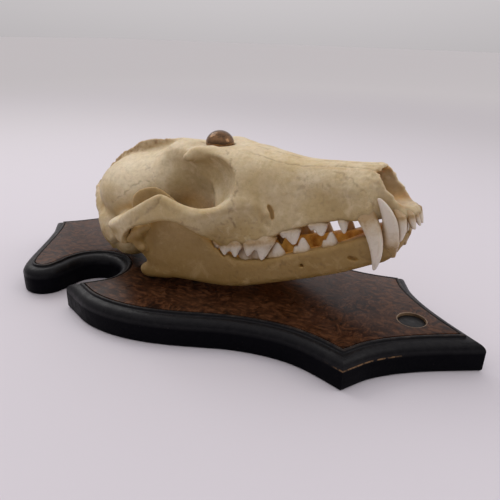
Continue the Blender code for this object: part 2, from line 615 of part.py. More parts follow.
def arc(centre, radius, start, end, steps):
    """Points of an arc, its angles in degrees."""
    angles = [math.radians(start + (end - start) * i / steps) for i in range(steps + 1)]
    return [(centre[0] + radius * math.cos(a), centre[1] + radius * math.sin(a)) for a in angles]


def through(points, steps=4):
    """An open smooth line through hand-set corners."""
    ends = [points[0]] + list(points) + [points[-1]]
    line = []
    for before, start, end, after in zip(ends, ends[1:], ends[2:], ends[3:]):
        for step in range(steps):
            t = step / steps
            line.append(tuple(0.5 * (2 * s + (e - b) * t + (2 * b - 5 * s + 4 * e - a) * t * t
                                     + (3 * s - b - 3 * e + a) * t ** 3)
                              for b, s, e, a in zip(before, start, end, after)))
    line.append(tuple(points[-1]))
    return line


def plaque_outline(detail=2):
    """The veneer's outline, from the rear point along the left side to the front and back."""
    rear = through([(-102.6, 0), (-97.0, 6.4), (-89.6, 17.4), (-78.6, 35.4), (-74.1, 41.6)], detail)
    lobe = arc((-70.9, 39.0), 4.1, 126, -4, 3 * detail)
    bay = arc((-49.4, 31.2), 17.4, 170, 368, 7 * detail)
    tip = through([(-32.2, 33.6), (-33.4, 37.7), (-38.6, 45.2)], detail)
    side = through([(-38.6, 45.2), (-29.0, 48.3), (-18.5, 48.8), (-7.2, 46.9), (4.2, 42.9), (15.0, 37.9),
                    (24.0, 33.7), (33.0, 30.7), (42.0, 28.8), (50.5, 28.2), (59.5, 29.2), (68.6, 31.4)], detail)
    front = through([(68.6, 31.4), (72.6, 24.3), (78.7, 17.1), (85.5, 10.9), (92.6, 5.4), (100.4, 0)], detail)
    half = rear[:-1] + lobe + bay + tip[1:-1] + side[:-1] + front
    return half + [(x, -y) for x, y in reversed(half[1:-1])]


def offset_outline(outline, distance):
    """Move a clockwise outline outward, mitred at its corners."""
    moved = []
    for before, here, after in zip(outline[-1:] + outline[:-1], outline, outline[1:] + outline[:1]):
        first = (Vector(here) - Vector(before)).normalized()
        second = (Vector(after) - Vector(here)).normalized()
        outward = Vector((-first.y - second.y, first.x + second.x)).normalized()
        reach = distance / max(outward.dot(Vector((-first.y, first.x))), 0.4)
        moved.append((here[0] + outward.x * reach, here[1] + outward.y * reach))
    return moved


def board_profile():
    """The board's edge from the veneer's bed to the floor: offset outward and height."""
    top = BOARD_THICK
    shoulder = top - MOULDING_DROP
    ledge = BEAD_WIDTH + 0.6
    profile = [(TOUCH_GAP, top - VENEER_THICK - TOUCH_GAP), (TOUCH_GAP, top - 0.15), (0.8, top),
               (BEAD_WIDTH, top - 0.4), (BEAD_WIDTH + 0.1, top - BEAD_STEP), (ledge, top - BEAD_STEP - 0.1)]
    for step in range(1, 5):
        turn = math.radians(90 * step / 4)
        profile.append((ledge + (MOULDING_WIDTH - ledge) * math.sin(turn),
                        shoulder + (top - BEAD_STEP - 0.1 - shoulder) * math.cos(turn)))
    return profile + [(MOULDING_WIDTH, 0.6), (MOULDING_WIDTH - 0.5, 0.0)]


def new_object(name, bm):
    """Make a mesh object of a bmesh, in metres."""
    mesh = bpy.data.meshes.new(name)
    bmesh.ops.scale(bm, vec=(0.001, 0.001, 0.001), verts=bm.verts)
    bmesh.ops.recalc_face_normals(bm, faces=bm.faces)
    bm.to_mesh(mesh)
    bm.free()
    obj = bpy.data.objects.new(name, mesh)
    bpy.context.scene.collection.objects.link(obj)
    return obj


def loft_board(outline):
    """The board as a stack of offset outlines, closed by its flat bed and underside."""
    bm = bmesh.new()
    rings = []
    for offset, height in board_profile():
        rings.append([bm.verts.new((x, y, height)) for x, y in offset_outline(outline, offset)])
    for upper, lower in zip(rings, rings[1:]):
        for i, vert in enumerate(upper):
            k = (i + 1) % len(upper)
            bm.faces.new((vert, upper[k], lower[k], lower[i]))
    bm.faces.new(rings[0])
    bm.faces.new(reversed(rings[-1]))
    return new_object("plaque_board", bm)


def flat_veneer(outline):
    """The thin veneer panel in its bed."""
    bm = bmesh.new()
    bottom = [bm.verts.new((x, y, BOARD_THICK - VENEER_THICK)) for x, y in outline]
    face = bm.faces.new(bottom)
    raised = bmesh.ops.extrude_face_region(bm, geom=[face])["geom"]
    verts = [item for item in raised if isinstance(item, bmesh.types.BMVert)]
    bmesh.ops.translate(bm, vec=(0, 0, VENEER_THICK), verts=verts)
    return new_object("plaque_veneer", bm)


def cylinder(name, radius, low, high, sides=32):
    """A closed round bar at the plug's place."""
    bm = bmesh.new()
    bmesh.ops.create_cone(bm, cap_ends=True, segments=sides, radius1=radius, radius2=radius,
                          depth=high - low)
    bmesh.ops.translate(bm, vec=(PLUG_X, 0, (high + low) / 2), verts=bm.verts)
    return new_object(name, bm)


def cut_hole(obj, cutter):
    """Apply a hole to a piece."""
    hole = obj.modifiers.new("Hole", "BOOLEAN")
    hole.operation = "DIFFERENCE"
    hole.object = cutter
    graph = bpy.context.evaluated_depsgraph_get()
    mesh = bpy.data.meshes.new_from_object(obj.evaluated_get(graph))
    obj.modifiers.clear()
    obj.data = mesh


def dome_nail():
    """The domed head over the skull's roof, with its short nail, turned about its axis."""
    half = DOME_WIDTH / 2
    profile = [(0.0, DOME_HEIGHT)]
    for step in range(1, 8):
        turn = math.radians(90 * step / 7)
        profile.append((half * math.sin(turn), 0.5 + (DOME_HEIGHT - 0.5) * math.cos(turn)))
    profile += [(half, 0.15), (half - 0.3, 0.0), (NAIL_WIDTH / 2, 0.0), (NAIL_WIDTH / 2, 1.2 - NAIL_LENGTH),
                (0.0, -NAIL_LENGTH)]
    mesh = bpy.data.meshes.new("mount_dome")
    mesh.from_pydata([(x / 1000, 0, z / 1000) for x, z in profile],
                     [(i, i + 1) for i in range(len(profile) - 1)], [])
    dome = bpy.data.objects.new("mount_dome", mesh)
    bpy.context.scene.collection.objects.link(dome)
    turn = dome.modifiers.new("Turn", "SCREW")
    turn.steps = 24
    turn.render_steps = 24
    turn.use_merge_vertices = True
    turn.merge_threshold = 0.00001
    dome.location = skull_to_part() @ Vector((DOME_X, 0, DOME_SEAT_Z))
    return dome


def build_skull(collection):
    """The cranium and both halves of the lower jaw."""
    bone = material("bone", (0.62, 0.52, 0.36), 0.55)
    jaw_bone = material("jaw_bone", (0.58, 0.47, 0.31), 0.55)
    cranium_block = build_cranium_field(BONE_CELL)
    set_teeth(cranium_block, upper_teeth())
    mandible_block = build_mandible_field(BONE_CELL)
    set_teeth(mandible_block, lower_teeth())
    shut_jaw(mandible_block, cranium_block)
    cranium = thin_out(field_mesh("cranium", cranium_block, True), CRANIUM_FACES)
    cranium.data.transform(skull_to_part())
    finish(cranium, "cranium", bone, collection)
    for name, side in (("mandible_left", 1), ("mandible_right", -1)):
        jaw = thin_out(field_mesh(name, mandible_block, False), MANDIBLE_FACES)
        if side < 0:
            jaw.data.transform(Matrix.Scale(-1, 4, (0, 1, 0)))
            jaw.data.flip_normals()
        jaw.data.transform(skull_to_part())
        finish(jaw, name, jaw_bone, collection)


def build_plaque(collection):
    """The moulded board, its veneer and the plug in its hanging hole."""
    outline = plaque_outline()
    board = loft_board(outline)
    veneer = flat_veneer(outline)
    plug_top = BOARD_THICK - PLUG_RECESS
    plug = cylinder("hanger_plug", PLUG_WIDTH / 2, plug_top - PLUG_DEPTH, plug_top)
    clear = PLUG_WIDTH / 2 + TOUCH_GAP
    cutter = cylinder("hole_cutter", clear, plug_top - PLUG_DEPTH - TOUCH_GAP, BOARD_THICK + 5)
    cut_hole(board, cutter)
    cut_hole(veneer, cutter)
    bpy.data.objects.remove(cutter)
    black = material("black_paint", (0.012, 0.013, 0.016), 0.35)
    burl = material("burl_veneer", (0.10, 0.045, 0.025), 0.35)
    dark = material("plug_black", (0.01, 0.01, 0.012), 0.3)
    finish(board, "plaque_board", black, collection)
    finish(veneer, "plaque_veneer", burl, collection)
    finish(plug, "hanger_plug", dark, collection)


def main():
    for obj in list(bpy.data.objects):
        bpy.data.objects.remove(obj)
    collection = bpy.data.collections.new("mounted_fox_skull")
    bpy.context.scene.collection.children.link(collection)
    build_skull(collection)
    build_plaque(collection)
    bronze = material("bronze", (0.16, 0.10, 0.06), 0.28, 0.9)
    finish(dome_nail(), "mount_dome", bronze, collection)


main()
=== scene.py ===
"""Looks of the mounted fox skull: fine bone and teeth, painted board, burl veneer and fixings.

The row frame is the CAD model's, in metres. The bones are worked out as in the part's source, in
the skull's own frame in millimetres, but finer, with sutures, pits and grain, and with each tooth
a piece of its own.
"""

import math

import bmesh
import bpy
import numpy as np
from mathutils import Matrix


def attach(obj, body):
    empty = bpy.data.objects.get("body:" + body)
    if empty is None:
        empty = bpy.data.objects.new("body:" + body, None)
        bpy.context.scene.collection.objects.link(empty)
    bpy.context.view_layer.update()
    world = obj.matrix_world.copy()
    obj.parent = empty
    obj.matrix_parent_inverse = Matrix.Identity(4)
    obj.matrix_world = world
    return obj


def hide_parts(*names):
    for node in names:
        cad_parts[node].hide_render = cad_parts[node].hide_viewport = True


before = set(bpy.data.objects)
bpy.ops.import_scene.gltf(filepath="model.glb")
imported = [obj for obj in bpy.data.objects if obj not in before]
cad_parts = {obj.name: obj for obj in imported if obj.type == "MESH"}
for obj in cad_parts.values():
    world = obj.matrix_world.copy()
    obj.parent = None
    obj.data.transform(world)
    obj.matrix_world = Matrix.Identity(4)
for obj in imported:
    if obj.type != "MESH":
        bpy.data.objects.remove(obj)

import openvdb
from mathutils import Matrix, Vector

# Driving dimensions of the plaque, in millimetres
BOARD_THICK = 12.5
VENEER_THICK = 0.9
MOULDING_WIDTH = 5.6
BEAD_WIDTH = 1.4
MOULDING_DROP = 4.6
BEAD_STEP = 1.0
TOUCH_GAP = 0.3
# Driving dimensions of the fixings, in millimetres
DOME_WIDTH = 11.6
DOME_HEIGHT = 5.8
NAIL_WIDTH = 2.6
NAIL_LENGTH = 9.0
PLUG_X = 83.6
PLUG_WIDTH = 10.4
PLUG_RECESS = 1.1
PLUG_DEPTH = 5.0
# How the skull sits on the plaque
SNOUT_RISE = math.radians(12.5)
SNOUT_X = 80.0
SNOUT_HEIGHT = BOARD_THICK + 41.6
# Driving dimensions of the skull, in millimetres
CRANIAL_HALF_WIDTH = 23.5
ARCH_HALF_WIDTH = 35.6
BULLA_DROP = 7.2
CREST_THICK = 1.7
CONDYLE_X = -101.8
CONDYLE_Z = 3.8
CONDYLE_RADIUS = 2.6
CONDYLE_END = 31.4
JAW_GAP = 0.55
HALF_GAP = 0.17
DOME_X = -77.5
DOME_SEAT_Z = 30.3
FAR = 6.0

def smooth_curve(*points):
    """A curve through given points that rises and falls only where they do."""
    ordered = sorted(points)
    knots = np.array([p[0] for p in ordered], dtype=np.float32)
    values = np.array([p[1] for p in ordered], dtype=np.float32)
    spans = np.diff(knots)
    slopes = np.diff(values) / spans
    product = slopes[:-1] * slopes[1:]
    total = slopes[:-1] + slopes[1:]
    total = np.where(product > 0, total, 1.0)
    tangents = np.zeros_like(values)
    tangents[1:-1] = np.where(product > 0, 2 * product / total, 0.0)
    tangents[0] = slopes[0]
    tangents[-1] = slopes[-1]

    def value_at(x):
        held = np.clip(x, knots[0], knots[-1])
        index = np.clip(np.searchsorted(knots, held, side="right") - 1, 0, len(knots) - 2)
        span = spans[index]
        t = (held - knots[index]) / span
        start = values[index] * (1 + 2 * t) * (1 - t) ** 2
        end = values[index + 1] * t * t * (3 - 2 * t)
        bend = span * t * (1 - t) * (tangents[index] * (1 - t) - tangents[index + 1] * t)
        return start + end + bend

    return value_at


def rounded_loop(points, steps=5):
    """A closed smooth line through given corners."""
    corners = [np.array(p, dtype=float) for p in points]
    count = len(corners)
    line = []
    for i in range(count):
        before, start, end, after = (corners[(i + k) % count] for k in (-1, 0, 1, 2))
        for step in range(steps):
            t = step / steps
            line.append(0.5 * (2 * start + (end - before) * t
                               + (2 * before - 5 * start + 4 * end - after) * t * t
                               + (3 * start - before - 3 * end + after) * t ** 3))
    return line


def blend_min(a, b, soft):
    """The union of two fields with a fillet."""
    if soft <= 0:
        return np.minimum(a, b)
    near = np.maximum(soft - np.abs(a - b), 0) / soft
    return np.minimum(a, b) - near * near * soft / 4


def blend_max(a, b, soft):
    """What two fields share, with its edge rounded."""
    return -blend_min(-a, -b, soft)


def loop_distance(loop, u, v):
    """Distance to a closed line in the plane, negative inside it."""
    nearest = FAR * FAR * 100 + 0 * (u + v)
    inside = nearest < 0
    for (au, av), (bu, bv) in zip(loop, loop[1:] + loop[:1]):
        du = bu - au
        dv = bv - av
        t = np.clip(((u - au) * du + (v - av) * dv) / (du * du + dv * dv), 0, 1)
        nearest = np.minimum(nearest, (u - au - t * du) ** 2 + (v - av - t * dv) ** 2)
        if dv != 0:
            inside = inside ^ (((av > v) != (bv > v)) & (u < du * (v - av) / dv + au))
    return np.where(inside, -1, 1) * np.sqrt(nearest)


def egg(centre, radii, lean=0.0):
    """An ellipsoid, turned by lean degrees in the side view."""
    c, s = math.cos(math.radians(lean)), math.sin(math.radians(lean))

    def shape(x, y, z):
        dx, dy, dz = x - centre[0], y - centre[1], z - centre[2]
        along = (dx * c + dz * s) / radii[0]
        across = dy / radii[1]
        up = (dz * c - dx * s) / radii[2]
        reach = np.sqrt(along ** 2 + across ** 2 + up ** 2) + 1e-6
        steep = np.sqrt((along / radii[0]) ** 2 + (across / radii[1]) ** 2
                        + (up / radii[2]) ** 2) + 1e-6
        return reach * (reach - 1) / steep

    return shape


def rod(points, radii):
    """A tapered round bar along a chain of points."""
    def shape(x, y, z):
        field = FAR * 9
        for start, end, r0, r1 in zip(points, points[1:], radii, radii[1:]):
            sx, sy, sz = start
            ex, ey, ez = (e - s for s, e in zip(start, end))
            t = ((x - sx) * ex + (y - sy) * ey + (z - sz) * ez) / (ex * ex + ey * ey + ez * ez)
            t = np.clip(t, 0, 1)
            gap = np.sqrt((x - sx - t * ex) ** 2 + (y - sy - t * ey) ** 2
                          + (z - sz - t * ez) ** 2)
            field = blend_min(field, gap - (r0 + (r1 - r0) * t), 0.8)
        return field

    return shape


def plate(loop, middle, thick, rounding=2.0, lean=None):
    """A bone plate: its side view is a loop, and it stands along y = middle(x), moved by lean."""
    def shape(x, y, z):
        edge = loop_distance(loop, x, z)
        slope = middle(x + 0.5) - middle(x - 0.5)
        aside = y - middle(x) - (lean(x, z) if lean else 0)
        across = np.abs(aside) / np.sqrt(1 + slope * slope) - thick(x, z) / 2
        return blend_max(edge, across, rounding)

    return shape


def tooth_point(base, tip, length, width, turn=0.0, bow=(0.0, 0.0), root=4.0, belly=0.72, tuck=0.0):
    """One cusp: an oval cone that bulges below its tip, with a narrowing root."""
    c, s = math.cos(math.radians(turn)), math.sin(math.radians(turn))
    rise = tip[2] - base[2]

    def shape(x, y, z):
        h = (z - base[2]) / rise
        held = np.clip(h, 0, 1)
        arc = 4 * held * (1 - held)
        dx = x - (base[0] + (tip[0] - base[0]) * held + bow[0] * arc)
        dy = y - (base[1] + (tip[1] - base[1]) * held + bow[1] * arc)
        taper = 0.93 * (1 - held) ** belly + 0.07
        depth = np.clip(-h * abs(rise), 0, root)
        dx = dx + depth * tuck
        dy = dy + depth * 0.3
        sink = 1 - 0.7 * depth / root
        half_length = length / 2 * taper * sink
        half_width = width / 2 * taper * sink
        along = (dx * c + dy * s) / half_length
        across = (dy * c - dx * s) / half_width
        side = (np.sqrt(along ** 2 + across ** 2) - 1) * np.minimum(half_length, half_width)
        ends = np.maximum((h - 1) * abs(rise), -h * abs(rise) - root)
        return blend_max(side, ends, 0.5)

    return shape


class Block:
    """A box of sample points with one field value each, negative inside the bone."""

    def __init__(self, low, high, cell):
        self.low = low
        self.cell = cell
        self.axes = [np.arange(a, b, cell, dtype=np.float32) for a, b in zip(low, high)]
        self.field = np.full([len(axis) for axis in self.axes], FAR, dtype=np.float32)

    def window(self, low, high):
        spans = []
        for axis, a, b in zip(self.axes, low, high):
            start = int(np.searchsorted(axis, a))
            spans.append(slice(start, max(int(np.searchsorted(axis, b)), start + 1)))
        return tuple(spans), np.ix_(*(axis[span] for axis, span in zip(self.axes, spans)))

    def whole(self):
        return [axis[0] for axis in self.axes], [axis[-1] + 1 for axis in self.axes]

    def join(self, shape, soft=0.0, low=None, high=None):
        if low is None:
            low, high = self.whole()
        spans, (x, y, z) = self.window(low, high)
        self.field[spans] = blend_min(self.field[spans], shape(x, y, z), soft)

    def cut(self, shape, soft=0.0, low=None, high=None):
        if low is None:
            low, high = self.whole()
        spans, (x, y, z) = self.window(low, high)
        self.field[spans] = blend_max(self.field[spans], -shape(x, y, z), soft)

# Curves of the face and braincase, along x
GUM = smooth_curve((0, -0.6), (-23, 0.2), (-35, -0.7), (-45, -2.6), (-54, -5.2), (-65, -6.2),
                   (-76, -5.6))
TOP_LINE = smooth_curve((0, 16.5), (-11, 17.2), (-16, 18.0), (-25, 19.3), (-38, 21.2), (-44, 22.7),
                        (-53, 25.7), (-58, 27.5), (-63, 28.8), (-69, 29.4), (-77, 30.0), (-85, 31.6),
                        (-93, 33.8), (-105, 34.2))
TOP_CROWN = smooth_curve((0, 0.016), (-11, 0.018), (-25, 0.028), (-40, 0.026), (-52, 0.016),
                         (-58, 0.015), (-63, 0.012), (-70, -0.004), (-77, -0.009), (-86, 0.006),
                         (-98, 0.03))
LOW_WIDTH = smooth_curve((0, 6.6), (-4, 8.2), (-7, 7.9), (-10, 8.0), (-12, 10.4), (-14, 12.6), (-19, 12.2),
                         (-26, 11.4), (-34, 12.6), (-44, 15.0), (-54, 18.4), (-63, 20.8), (-70, 21.0),
                         (-76, 18.0), (-82, 9.0), (-98, 9.0))
MID_WIDTH = smooth_curve((0, 6.4), (-4, 7.6), (-8, 7.9), (-11, 9.4), (-14.5, 11.6), (-20, 11.4),
                         (-28, 10.6),
                         (-36, 11.2), (-46, 13.6), (-54, 16.6), (-59, 19.0), (-64, 21.0), (-71, 20.0),
                         (-78, 9.8), (-98, 9.6))
HIGH_WIDTH = smooth_curve((0, 6.4), (-8, 7.6), (-14, 8.3), (-28, 8.4), (-40, 9.2), (-52, 11.2), (-60, 13.0),
                          (-66, 13.8), (-74, 15.2), (-82, 15.6), (-88, 12.4), (-94, 10.6), (-100, 12.5))
FRONT_LINE = smooth_curve((-3, 0.2), (0, 0.5), (3, -1.4), (5, -2.8), (7.2, -6.0), (10.3, -8.7),
                          (14.8, -10.4), (17.4, -11.3), (22, -12.5))
FRONT_CURVE = smooth_curve((-3, 0.055), (0, 0.06), (3, 0.075), (5, 0.055), (7.5, 0.0))
PALATE_LINE = smooth_curve((-4, 1.6), (-14, 3.2), (-32, 3.4), (-50, 1.2), (-62, -1.0), (-76, -1.6),
                           (-79, 3.6), (-100, 2.4))
PALATE_WIDTH = smooth_curve((-3, 3.4), (-12, 6.0), (-20, 7.6), (-34, 8.6), (-46, 10.6), (-56, 12.6),
                            (-64, 12.8), (-76, 11.5))
ARCH_LINE = smooth_curve((-54, 14.4), (-58, 16.8), (-61, 19.0), (-64, 21.6), (-68, 25.4), (-72, 28.8),
                         (-77, 32.2), (-84, 34.3), (-92, ARCH_HALF_WIDTH - 0.2), (-100, ARCH_HALF_WIDTH),
                         (-106, 34.3), (-111, 31.6), (-115, 28.2), (-119, 24.0), (-122, 20.0))
ARCH_THICK = smooth_curve((-54, 5.0), (-64, 4.6), (-72, 3.8), (-84, 3.2), (-100, 3.0), (-108, 3.8),
                          (-114, 5.5), (-122, 8.0))
JAW_LINE = smooth_curve((-4, 3.2), (-12, 4.2), (-19, 5.8), (-25, 7.6), (-35, 9.9), (-45, 12.2), (-55, 14.6),
                        (-65, 17.2), (-75, 20.2), (-85, 23.0), (-95, 25.4), (-104, 26.8), (-112, 27.4))
JAW_THICK = smooth_curve((-4, 7.4), (-12, 10.2), (-18, 10.3), (-26, 7.4), (-35, 6.6), (-60, 6.8),
                         (-72, 6.0), (-82, 4.4), (-95, 3.6), (-112, 3.4))
CHIN_CURVE = 0.06
JAW_GUM = smooth_curve((-5, -7.6), (-10, -6.8), (-17, -6.0), (-23, -7.4), (-30, -8.9), (-38, -10.2),
                       (-46, -11.2), (-55, -12.2), (-64, -12.8), (-72, -11.4))
# The ridge round the nape: x, distance from the mid plane and z
NAPE_LINE = [(-151, 0, 17.5), (-149.5, 4, 17.0), (-145.5, 9, 14.6), (-140.5, 13.5, 10.6), (-135.5, 18, 5.6),
             (-131.5, 21, 1.2), (-129, 21.4, -3.0)]
# Side views of the plates: corners of closed smooth lines, x and z
ARCH_LOOP = rounded_loop([(-54, 8), (-60, 11.4), (-66, 10.4), (-72, 10.9), (-77.4, 14.2), (-81.5, 17.2),
                          (-84.4, 18.3), (-88.5, 17.2), (-96, 14.6), (-104, 11.6), (-112, 8.2), (-119, 6.6),
                          (-123, 4.5), (-120, 0.2), (-113.5, -1.4), (-108, -1.4), (-104.2, 0.6),
                          (-100.5, 4.6), (-95, 6.6), (-86, 8.0), (-80, 7.0), (-76.4, 3.6), (-73.8, -0.6),
                          (-71.2, -4.4), (-66, -5.8), (-59, -4), (-54, 1)])
CREST_LOOP = rounded_loop([(-88, 30.5), (-94, 33.8), (-101, 35.2), (-110, 36.2), (-117, 36.2), (-124, 34.4),
                           (-132, 31.9), (-140, 28.0), (-146, 23.6), (-150.2, 19.8), (-151.6, 17.0),
                           (-150.5, 14.6), (-144, 14), (-136, 18), (-124, 26), (-110, 30)])
JAW_LOOP = rounded_loop([(-3.6, -7.0), (-4.4, -9.2), (-7.6, -12.2), (-11.6, -15.0), (-16, -16.8),
                         (-22, -18.4),
                         (-30, -20.2), (-40, -21.5), (-50, -22.5), (-60, -23.3), (-69, -23.4), (-78, -22.2),
                         (-87, -20.2), (-96, -18.6), (-102, -18.2), (-106, -17.9), (-108.6, -16.2),
                         (-109.2, -13.8), (-107.6, -12.2), (-105.6, -11.2), (-104.4, -9.2), (-105.2, -6),
                         (-107, -2.6), (-106.6, 1), (-104.6, 4.4), (-105, 8.2), (-107.2, 12.6),
                         (-105.6, 16.6), (-102, 19.2), (-97, 20.2), (-92.4, 19.4), (-87.4, 15), (-82, 8.0),
                         (-77.0, 0.6), (-73.6, -4.8), (-70.4, -8.8), (-64, -12.3), (-55, -12.3),
                         (-46, -11.3),
                         (-38, -10.2), (-30, -8.9), (-23, -7.4), (-17, -6), (-10, -6.6)])

def face(x, y, z):
    """Snout, cheeks and forehead back to the waist behind the eyes."""
    top = TOP_LINE(x)
    gum = GUM(x)
    height = np.clip((z - gum) / (top - gum), 0, 1.1)
    low, mid, high = LOW_WIDTH(x), MID_WIDTH(x), HIGH_WIDTH(x)
    side = np.where(height < 0.5, low + (mid - low) * height * 2,
                    mid + (high - mid) * np.clip(height * 2 - 1, 0, 1.2) ** 1.4)
    over = z - (top - TOP_CROWN(x) * y * y)
    body = blend_max(y - side, over, 5.0)
    body = blend_max(body, gum - z, 1.5)
    body = blend_max(body, x + FRONT_CURVE(z) * y * y - FRONT_LINE(z), 0.8)
    return blend_max(body, -99.0 - x, 4.0)


def palate_hollow(x, y, z):
    """The arched roof of the mouth between the tooth rows."""
    return blend_max(y - PALATE_WIDTH(x), z - PALATE_LINE(x), 2.5)


def under_face(x, y, z):
    """The open space below the wall between the eye sockets, behind the palate."""
    return blend_max(x + 77.0, z - PALATE_LINE(x), 1.0)


def nose_hollow(x, y, z):
    """The nasal opening and the passage behind it."""
    half = smooth_curve((3, 5.9), (-6, 6.5), (-12, 6.9), (-24, 6.8), (-36, 5.0), (-44, 1.0))(x)
    roof = TOP_LINE(x) - 1.3 - TOP_CROWN(x) * y * y
    floor = smooth_curve((2, 2.4), (-3, 2.9), (-12, 4.4), (-26, 7.0), (-40, 11.0))(x)
    return blend_max(blend_max(y - half, z - roof, 3.0), blend_max(floor - z, -44.0 - x, 3.0), 4.0)


def build_cranium_field(cell):
    """The field of the cranium's bone, on the half with y above zero."""
    block = Block((-158, -cell, -22), (6, 42, 42), cell)
    block.join(face)
    block.cut(palate_hollow, 1.5, (-80, -1, -12), (-3, 20, 12))
    block.cut(under_face, 2.0, (-105, -1, -22), (-74, 42, 12))
    block.cut(egg((-74.6, 27.6, 19.6), (17.2, 16.6, 13.2), 10), 1.0)
    block.cut(egg((-85, 25.5, 8), (13, 14.0, 14)), 5.0)
    block.join(egg((-117.5, 0, 14.6), (26.2, CRANIAL_HALF_WIDTH, 16.8), -4), 5.0)
    block.join(egg((-101, 0, 17.5), (15, 14.5, 14.0)), 6.0)
    block.join(egg((-112, 0, 4), (34, 11, 6.2)), 5.0)
    brow = rod([(-74, 11, 28.6), (-80, 13.8, 29.0), (-82.4, 16.0, 28.4)], (2.2, 2.0, 1.7))
    block.join(brow, 2.5, (-96, 0, 20), (-60, 24, 36))
    block.join(plate(CREST_LOOP, mid_plane, even(CREST_THICK), 1.0), 2.4, (-156, -1, 8), (-84, 8, 40))
    nape = rod(NAPE_LINE, (1.7, 1.5, 1.4, 1.4, 1.5, 1.9, 2.0))
    block.join(nape, 3.0, (-158, -1, -10), (-118, 28, 26))
    occiput = egg((-139, 0, 7), (8.5, 15, 10), 12)
    block.join(occiput, 4.0)
    block.join(egg((-131, 15.5, 0), (8.0, 6.6, 9.5), 10), 3.0, (-146, 4, -14), (-118, 28, 14))
    condyle = rod([(-143.2, 4.0, -2.2), (-144.6, 7.8, 0.8), (-143.2, 10.2, 4.8)], (2.6, 4.0, 2.8))
    block.join(condyle, 1.5, (-154, -1, -10), (-132, 20, 14))
    block.cut(egg((-147, 0, 4.8), (15, 6.4, 5.2), 10), 1.0, (-160, -1, -6), (-128, 10, 14))
    spur = rod([(-139.5, 13, 3), (-137.2, 15, -3), (-135.4, 16.2, -8.6)], (3.2, 2.3, 1.2))
    block.join(spur, 2.0, (-146, 6, -14), (-128, 24, 10))
    bulla = egg((-125.5, 13.2, -6.0), (10.4, 7.4, BULLA_DROP))
    block.join(bulla, 1.0, (-142, 0, -18), (-108, 26, 8))
    block.join(rod([(-121, 16, -3.5), (-118.5, 20.5, -1.0)], (3.6, 3.0)), 1.5, (-130, 8, -12),
               (-110, 28, 8))
    block.cut(rod([(-118.2, 26, -0.6), (-120.2, 17.5, -2.4)], (2.3, 1.9)), 0.4, (-126, 12, -8),
              (-112, 30, 6))
    block.join(plate(ARCH_LOOP, ARCH_LINE, arch_thick, 2.4, arch_lean), 4.0, (-126, 8, -10), (-48, 40, 24))
    block.join(egg((-111, 25.5, 6.6), (8.5, 9.5, 2.8), 6), 3.0, (-124, 12, -4), (-96, 38, 16))
    block.join(egg((-110.4, 26.6, 1.6), (2.4, 6.4, 4.6), -8), 1.5, (-118, 16, -8), (-100, 36, 12))
    fossa = rod([(CONDYLE_X, 19.5, CONDYLE_Z), (CONDYLE_X - 0.6, CONDYLE_END, CONDYLE_Z)],
                (CONDYLE_RADIUS + JAW_GAP, CONDYLE_RADIUS + JAW_GAP))
    block.cut(fossa, 0.3, (-112, 14, -6), (-94, 42, 12))
    block.cut(egg((-100.6, 35.5, 2.0), (8.2, 7.5, 3.6), 24), 0.8, (-114, 24, -8), (-86, 42, 12))
    wing = plate(rounded_loop([(-70, 2), (-73, 5), (-86, 7), (-98, 6), (-102, 3), (-101, -3), (-99.5, -6.2),
                               (-97.5, -4.6), (-92, -3), (-84, -3), (-76, -5.4), (-70, -5)]),
                 smooth_curve((-68, 9.6), (-76, 7.8), (-86, 6.8), (-100, 7.6)), even(2.0), 1.4)
    block.join(wing, 1.6, (-106, 2, -10), (-66, 14, 10))
    block.cut(nose_hollow, 0.5, (-48, -1, 0), (6, 12, 24))
    block.cut(egg((-10.6, 5.6, 16.8), (1.7, 1.0, 2.2), 10), 0.3, (-16, 2, 10), (-4, 12, 22))
    block.join(rod([(-52.2, 14.6, 1.6), (-51.0, 15.9, 5), (-52.6, 14.8, 9)], (1.0, 1.1, 0.9)), 2.0,
               (-60, 8, -6), (-40, 24, 16))
    block.cut(egg((-50.0, 15.1, 5.0), (1.3, 0.8, 3.1), 8), 0.6, (-60, 8, -2), (-40, 22, 12))
    block.cut(dome_hole(DOME_WIDTH / 2 + TOUCH_GAP, TOUCH_GAP), 0.0, (-90, -1, 20), (-66, 10, 40))
    block.cut(dome_hole(NAIL_WIDTH / 2 + TOUCH_GAP, NAIL_LENGTH + 2 * TOUCH_GAP), 0.0,
              (-92, -1, 14), (-66, 6, 40))
    return block


def mid_plane(x):
    """The middle of a plate that stands between the two halves."""
    return np.zeros_like(x)


def even(thickness):
    """A plate's thickness where it is the same all over."""
    return lambda x, z: np.full_like(x, thickness)


def arch_thick(x, z):
    """The cheekbone is thin at its middle and stout at both roots."""
    return ARCH_THICK(x)


def dome_hole(radius, depth):
    """A round seat about the dome's upright axis, cut down to a depth below its underside."""
    def shape(x, y, z):
        return np.maximum(np.hypot(along_dome(x, z), y) - radius, dome_seat(x, z) - depth)

    return shape


def arch_lean(x, z):
    """The cheek leans in toward the gum below the eye socket."""
    share = np.clip((x + 80) / 8, 0, 1)
    return share * np.minimum(z - 9.0, 0) * 0.5


def along_dome(x, z):
    """Distance forward of the dome's axis, which stays upright over the tilted skull."""
    return (x - DOME_X) * math.cos(SNOUT_RISE) - (z - DOME_SEAT_Z) * math.sin(SNOUT_RISE)


def dome_seat(x, z):
    """Height below the dome's level underside, positive below it."""
    rise = (x - DOME_X) * math.sin(SNOUT_RISE) + (z - DOME_SEAT_Z) * math.cos(SNOUT_RISE)
    return -rise


def premolar(x, y, z, length, rise, back):
    """A tall cusp with a small one behind it; back is the small cusp's place and height."""
    away, aside, share = back
    width = 3.1
    return [tooth_point((x, y, z), (x + 0.5, y + 0.3, z + rise), length * 0.86, width, -14),
            tooth_point((x - length * away, y + aside, z), (x - length * 0.36, y + aside, z + rise * share),
                        length * 0.42, width - 0.3, -14)]


